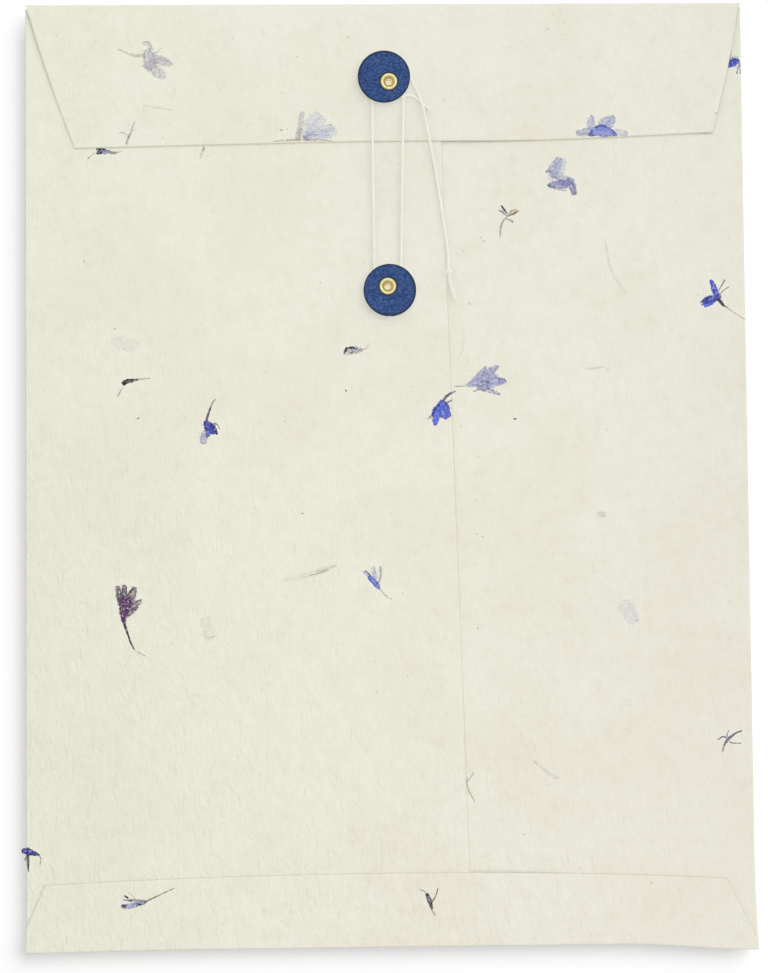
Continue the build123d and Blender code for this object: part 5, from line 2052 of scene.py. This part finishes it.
def make_camera():
    """The camera of the photo's view."""
    scene = bpy.context.scene
    camera_data = bpy.data.cameras.new("photo_view")
    camera_data.lens = CAMERA_LENS
    camera_data.sensor_width = CAMERA_SENSOR
    camera_data.clip_start = CAMERA_NEAR * MM
    camera = bpy.data.objects.new("photo_view", camera_data)
    turn = Matrix.Rotation(radians(CAMERA_TURN.length), 4, CAMERA_TURN.normalized())
    camera.matrix_world = Matrix.Translation(CAMERA_PLACE * MM) @ turn
    scene.collection.objects.link(camera)
    scene.camera = camera
    scene.view_settings.view_transform = "Standard"


# Operators, one for each group of pieces
class ENVELOPE_OT_front_sheet(Operator):
    """Build the front panel with its creased margins"""

    bl_idname = "envelope.front_sheet"
    bl_label = "Front sheet"

    def execute(self, context):
        make_front_sheet()
        return {"FINISHED"}


class ENVELOPE_OT_back_sheets(Operator):
    """Build the two back panels that meet at the seam"""

    bl_idname = "envelope.back_sheets"
    bl_label = "Back sheets"

    def execute(self, context):
        make_left_back_sheet()
        make_right_back_sheet()
        return {"FINISHED"}


class ENVELOPE_OT_bottom_flap(Operator):
    """Build the bottom flap"""

    bl_idname = "envelope.bottom_flap"
    bl_label = "Bottom flap"

    def execute(self, context):
        make_bottom_flap()
        return {"FINISHED"}


class ENVELOPE_OT_closure_sheet(Operator):
    """Build the top margin and the closure flap"""

    bl_idname = "envelope.closure_sheet"
    bl_label = "Closure sheet"

    def execute(self, context):
        make_closure_sheet()
        return {"FINISHED"}


class ENVELOPE_OT_buttons(Operator):
    """Build the two card discs"""

    bl_idname = "envelope.buttons"
    bl_label = "Buttons"

    def execute(self, context):
        make_button("upper_button", UPPER, "upper_card_disc")
        make_button("lower_button", LOWER, "lower_card_disc", NICK_ANGLE)
        return {"FINISHED"}


class ENVELOPE_OT_eyelets(Operator):
    """Build the two brass eyelets"""

    bl_idname = "envelope.eyelets"
    bl_label = "Eyelets"

    def execute(self, context):
        make_eyelet("upper_eyelet", "closure_flap", "upper_brass_eyelet")
        make_eyelet("lower_eyelet", "pocket", "lower_brass_eyelet")
        return {"FINISHED"}


class ENVELOPE_OT_hidden_parts(Operator):
    """Finish the card spacers and the films of paste"""

    bl_idname = "envelope.hidden_parts"
    bl_label = "Spacers and paste"

    def execute(self, context):
        finishes = {
            "upper_spacer": "plain_card", "lower_spacer": "plain_card",
            "centre_seam_glue": "dry_paste", "bottom_flap_glue": "dry_paste",
        }
        for node, name in finishes.items():
            slots = frame["nodes"][node].data.materials
            slots.clear()
            slots.append(finish(name))
        return {"FINISHED"}


class ENVELOPE_OT_string(Operator):
    """Build the cotton string with its knots and frayed ends"""

    bl_idname = "envelope.string"
    bl_label = "String"

    def execute(self, context):
        make_string()
        return {"FINISHED"}


class ENVELOPE_OT_florets(Operator):
    """Lay the pressed petals and fibres on the sheets"""

    bl_idname = "envelope.florets"
    bl_label = "Pressed petals"

    def execute(self, context):
        make_florets("flap_petals", "closure_flap", FLAP_FLORETS, flap_level)
        make_florets("pocket_petals", "pocket", POCKET_FLORETS, panel_level)
        make_florets("bottom_flap_petals", "pocket", BOTTOM_FLORETS, bottom_level)
        return {"FINISHED"}


class ENVELOPE_OT_stage(Operator):
    """Build the floor, the light and the camera"""

    bl_idname = "envelope.stage"
    bl_label = "Stage"

    def execute(self, context):
        floor = make_floor()
        make_sky()
        make_lamps(floor)
        make_camera()
        return {"FINISHED"}


OPERATORS = (
    ENVELOPE_OT_front_sheet, ENVELOPE_OT_back_sheets, ENVELOPE_OT_bottom_flap,
    ENVELOPE_OT_closure_sheet, ENVELOPE_OT_buttons, ENVELOPE_OT_eyelets, ENVELOPE_OT_hidden_parts,
    ENVELOPE_OT_string, ENVELOPE_OT_florets, ENVELOPE_OT_stage,
)


class ENVELOPE_PT_panel(Panel):
    """The envelope's pieces and settings"""

    bl_idname = "ENVELOPE_PT_panel"
    bl_label = "String Tie Envelope"
    bl_space_type = "VIEW_3D"
    bl_region_type = "UI"
    bl_category = "Envelope"

    def draw(self, context):
        for name in SETTINGS:
            group = getattr(context.scene, name)
            box = self.layout.box()
            for key in group.__annotations__:
                box.prop(group, key)
        for operator in OPERATORS:
            self.layout.operator(operator.bl_idname)


def register():
    """Register the settings, the operators and the panel."""
    for name, group in SETTINGS.items():
        bpy.utils.register_class(group)
        setattr(bpy.types.Scene, name, PointerProperty(type=group))
    for kind in (*OPERATORS, ENVELOPE_PT_panel):
        bpy.utils.register_class(kind)


def unregister():
    """Take the panel, the operators and the settings out again."""
    for kind in (ENVELOPE_PT_panel, *reversed(OPERATORS)):
        bpy.utils.unregister_class(kind)
    for name, group in SETTINGS.items():
        delattr(bpy.types.Scene, name)
        bpy.utils.unregister_class(group)


def main():
    """Build every piece in order."""
    register()
    for operator in OPERATORS:
        family, name = operator.bl_idname.split(".")
        getattr(getattr(bpy.ops, family), name)()


if __name__ == "__main__":
    main()
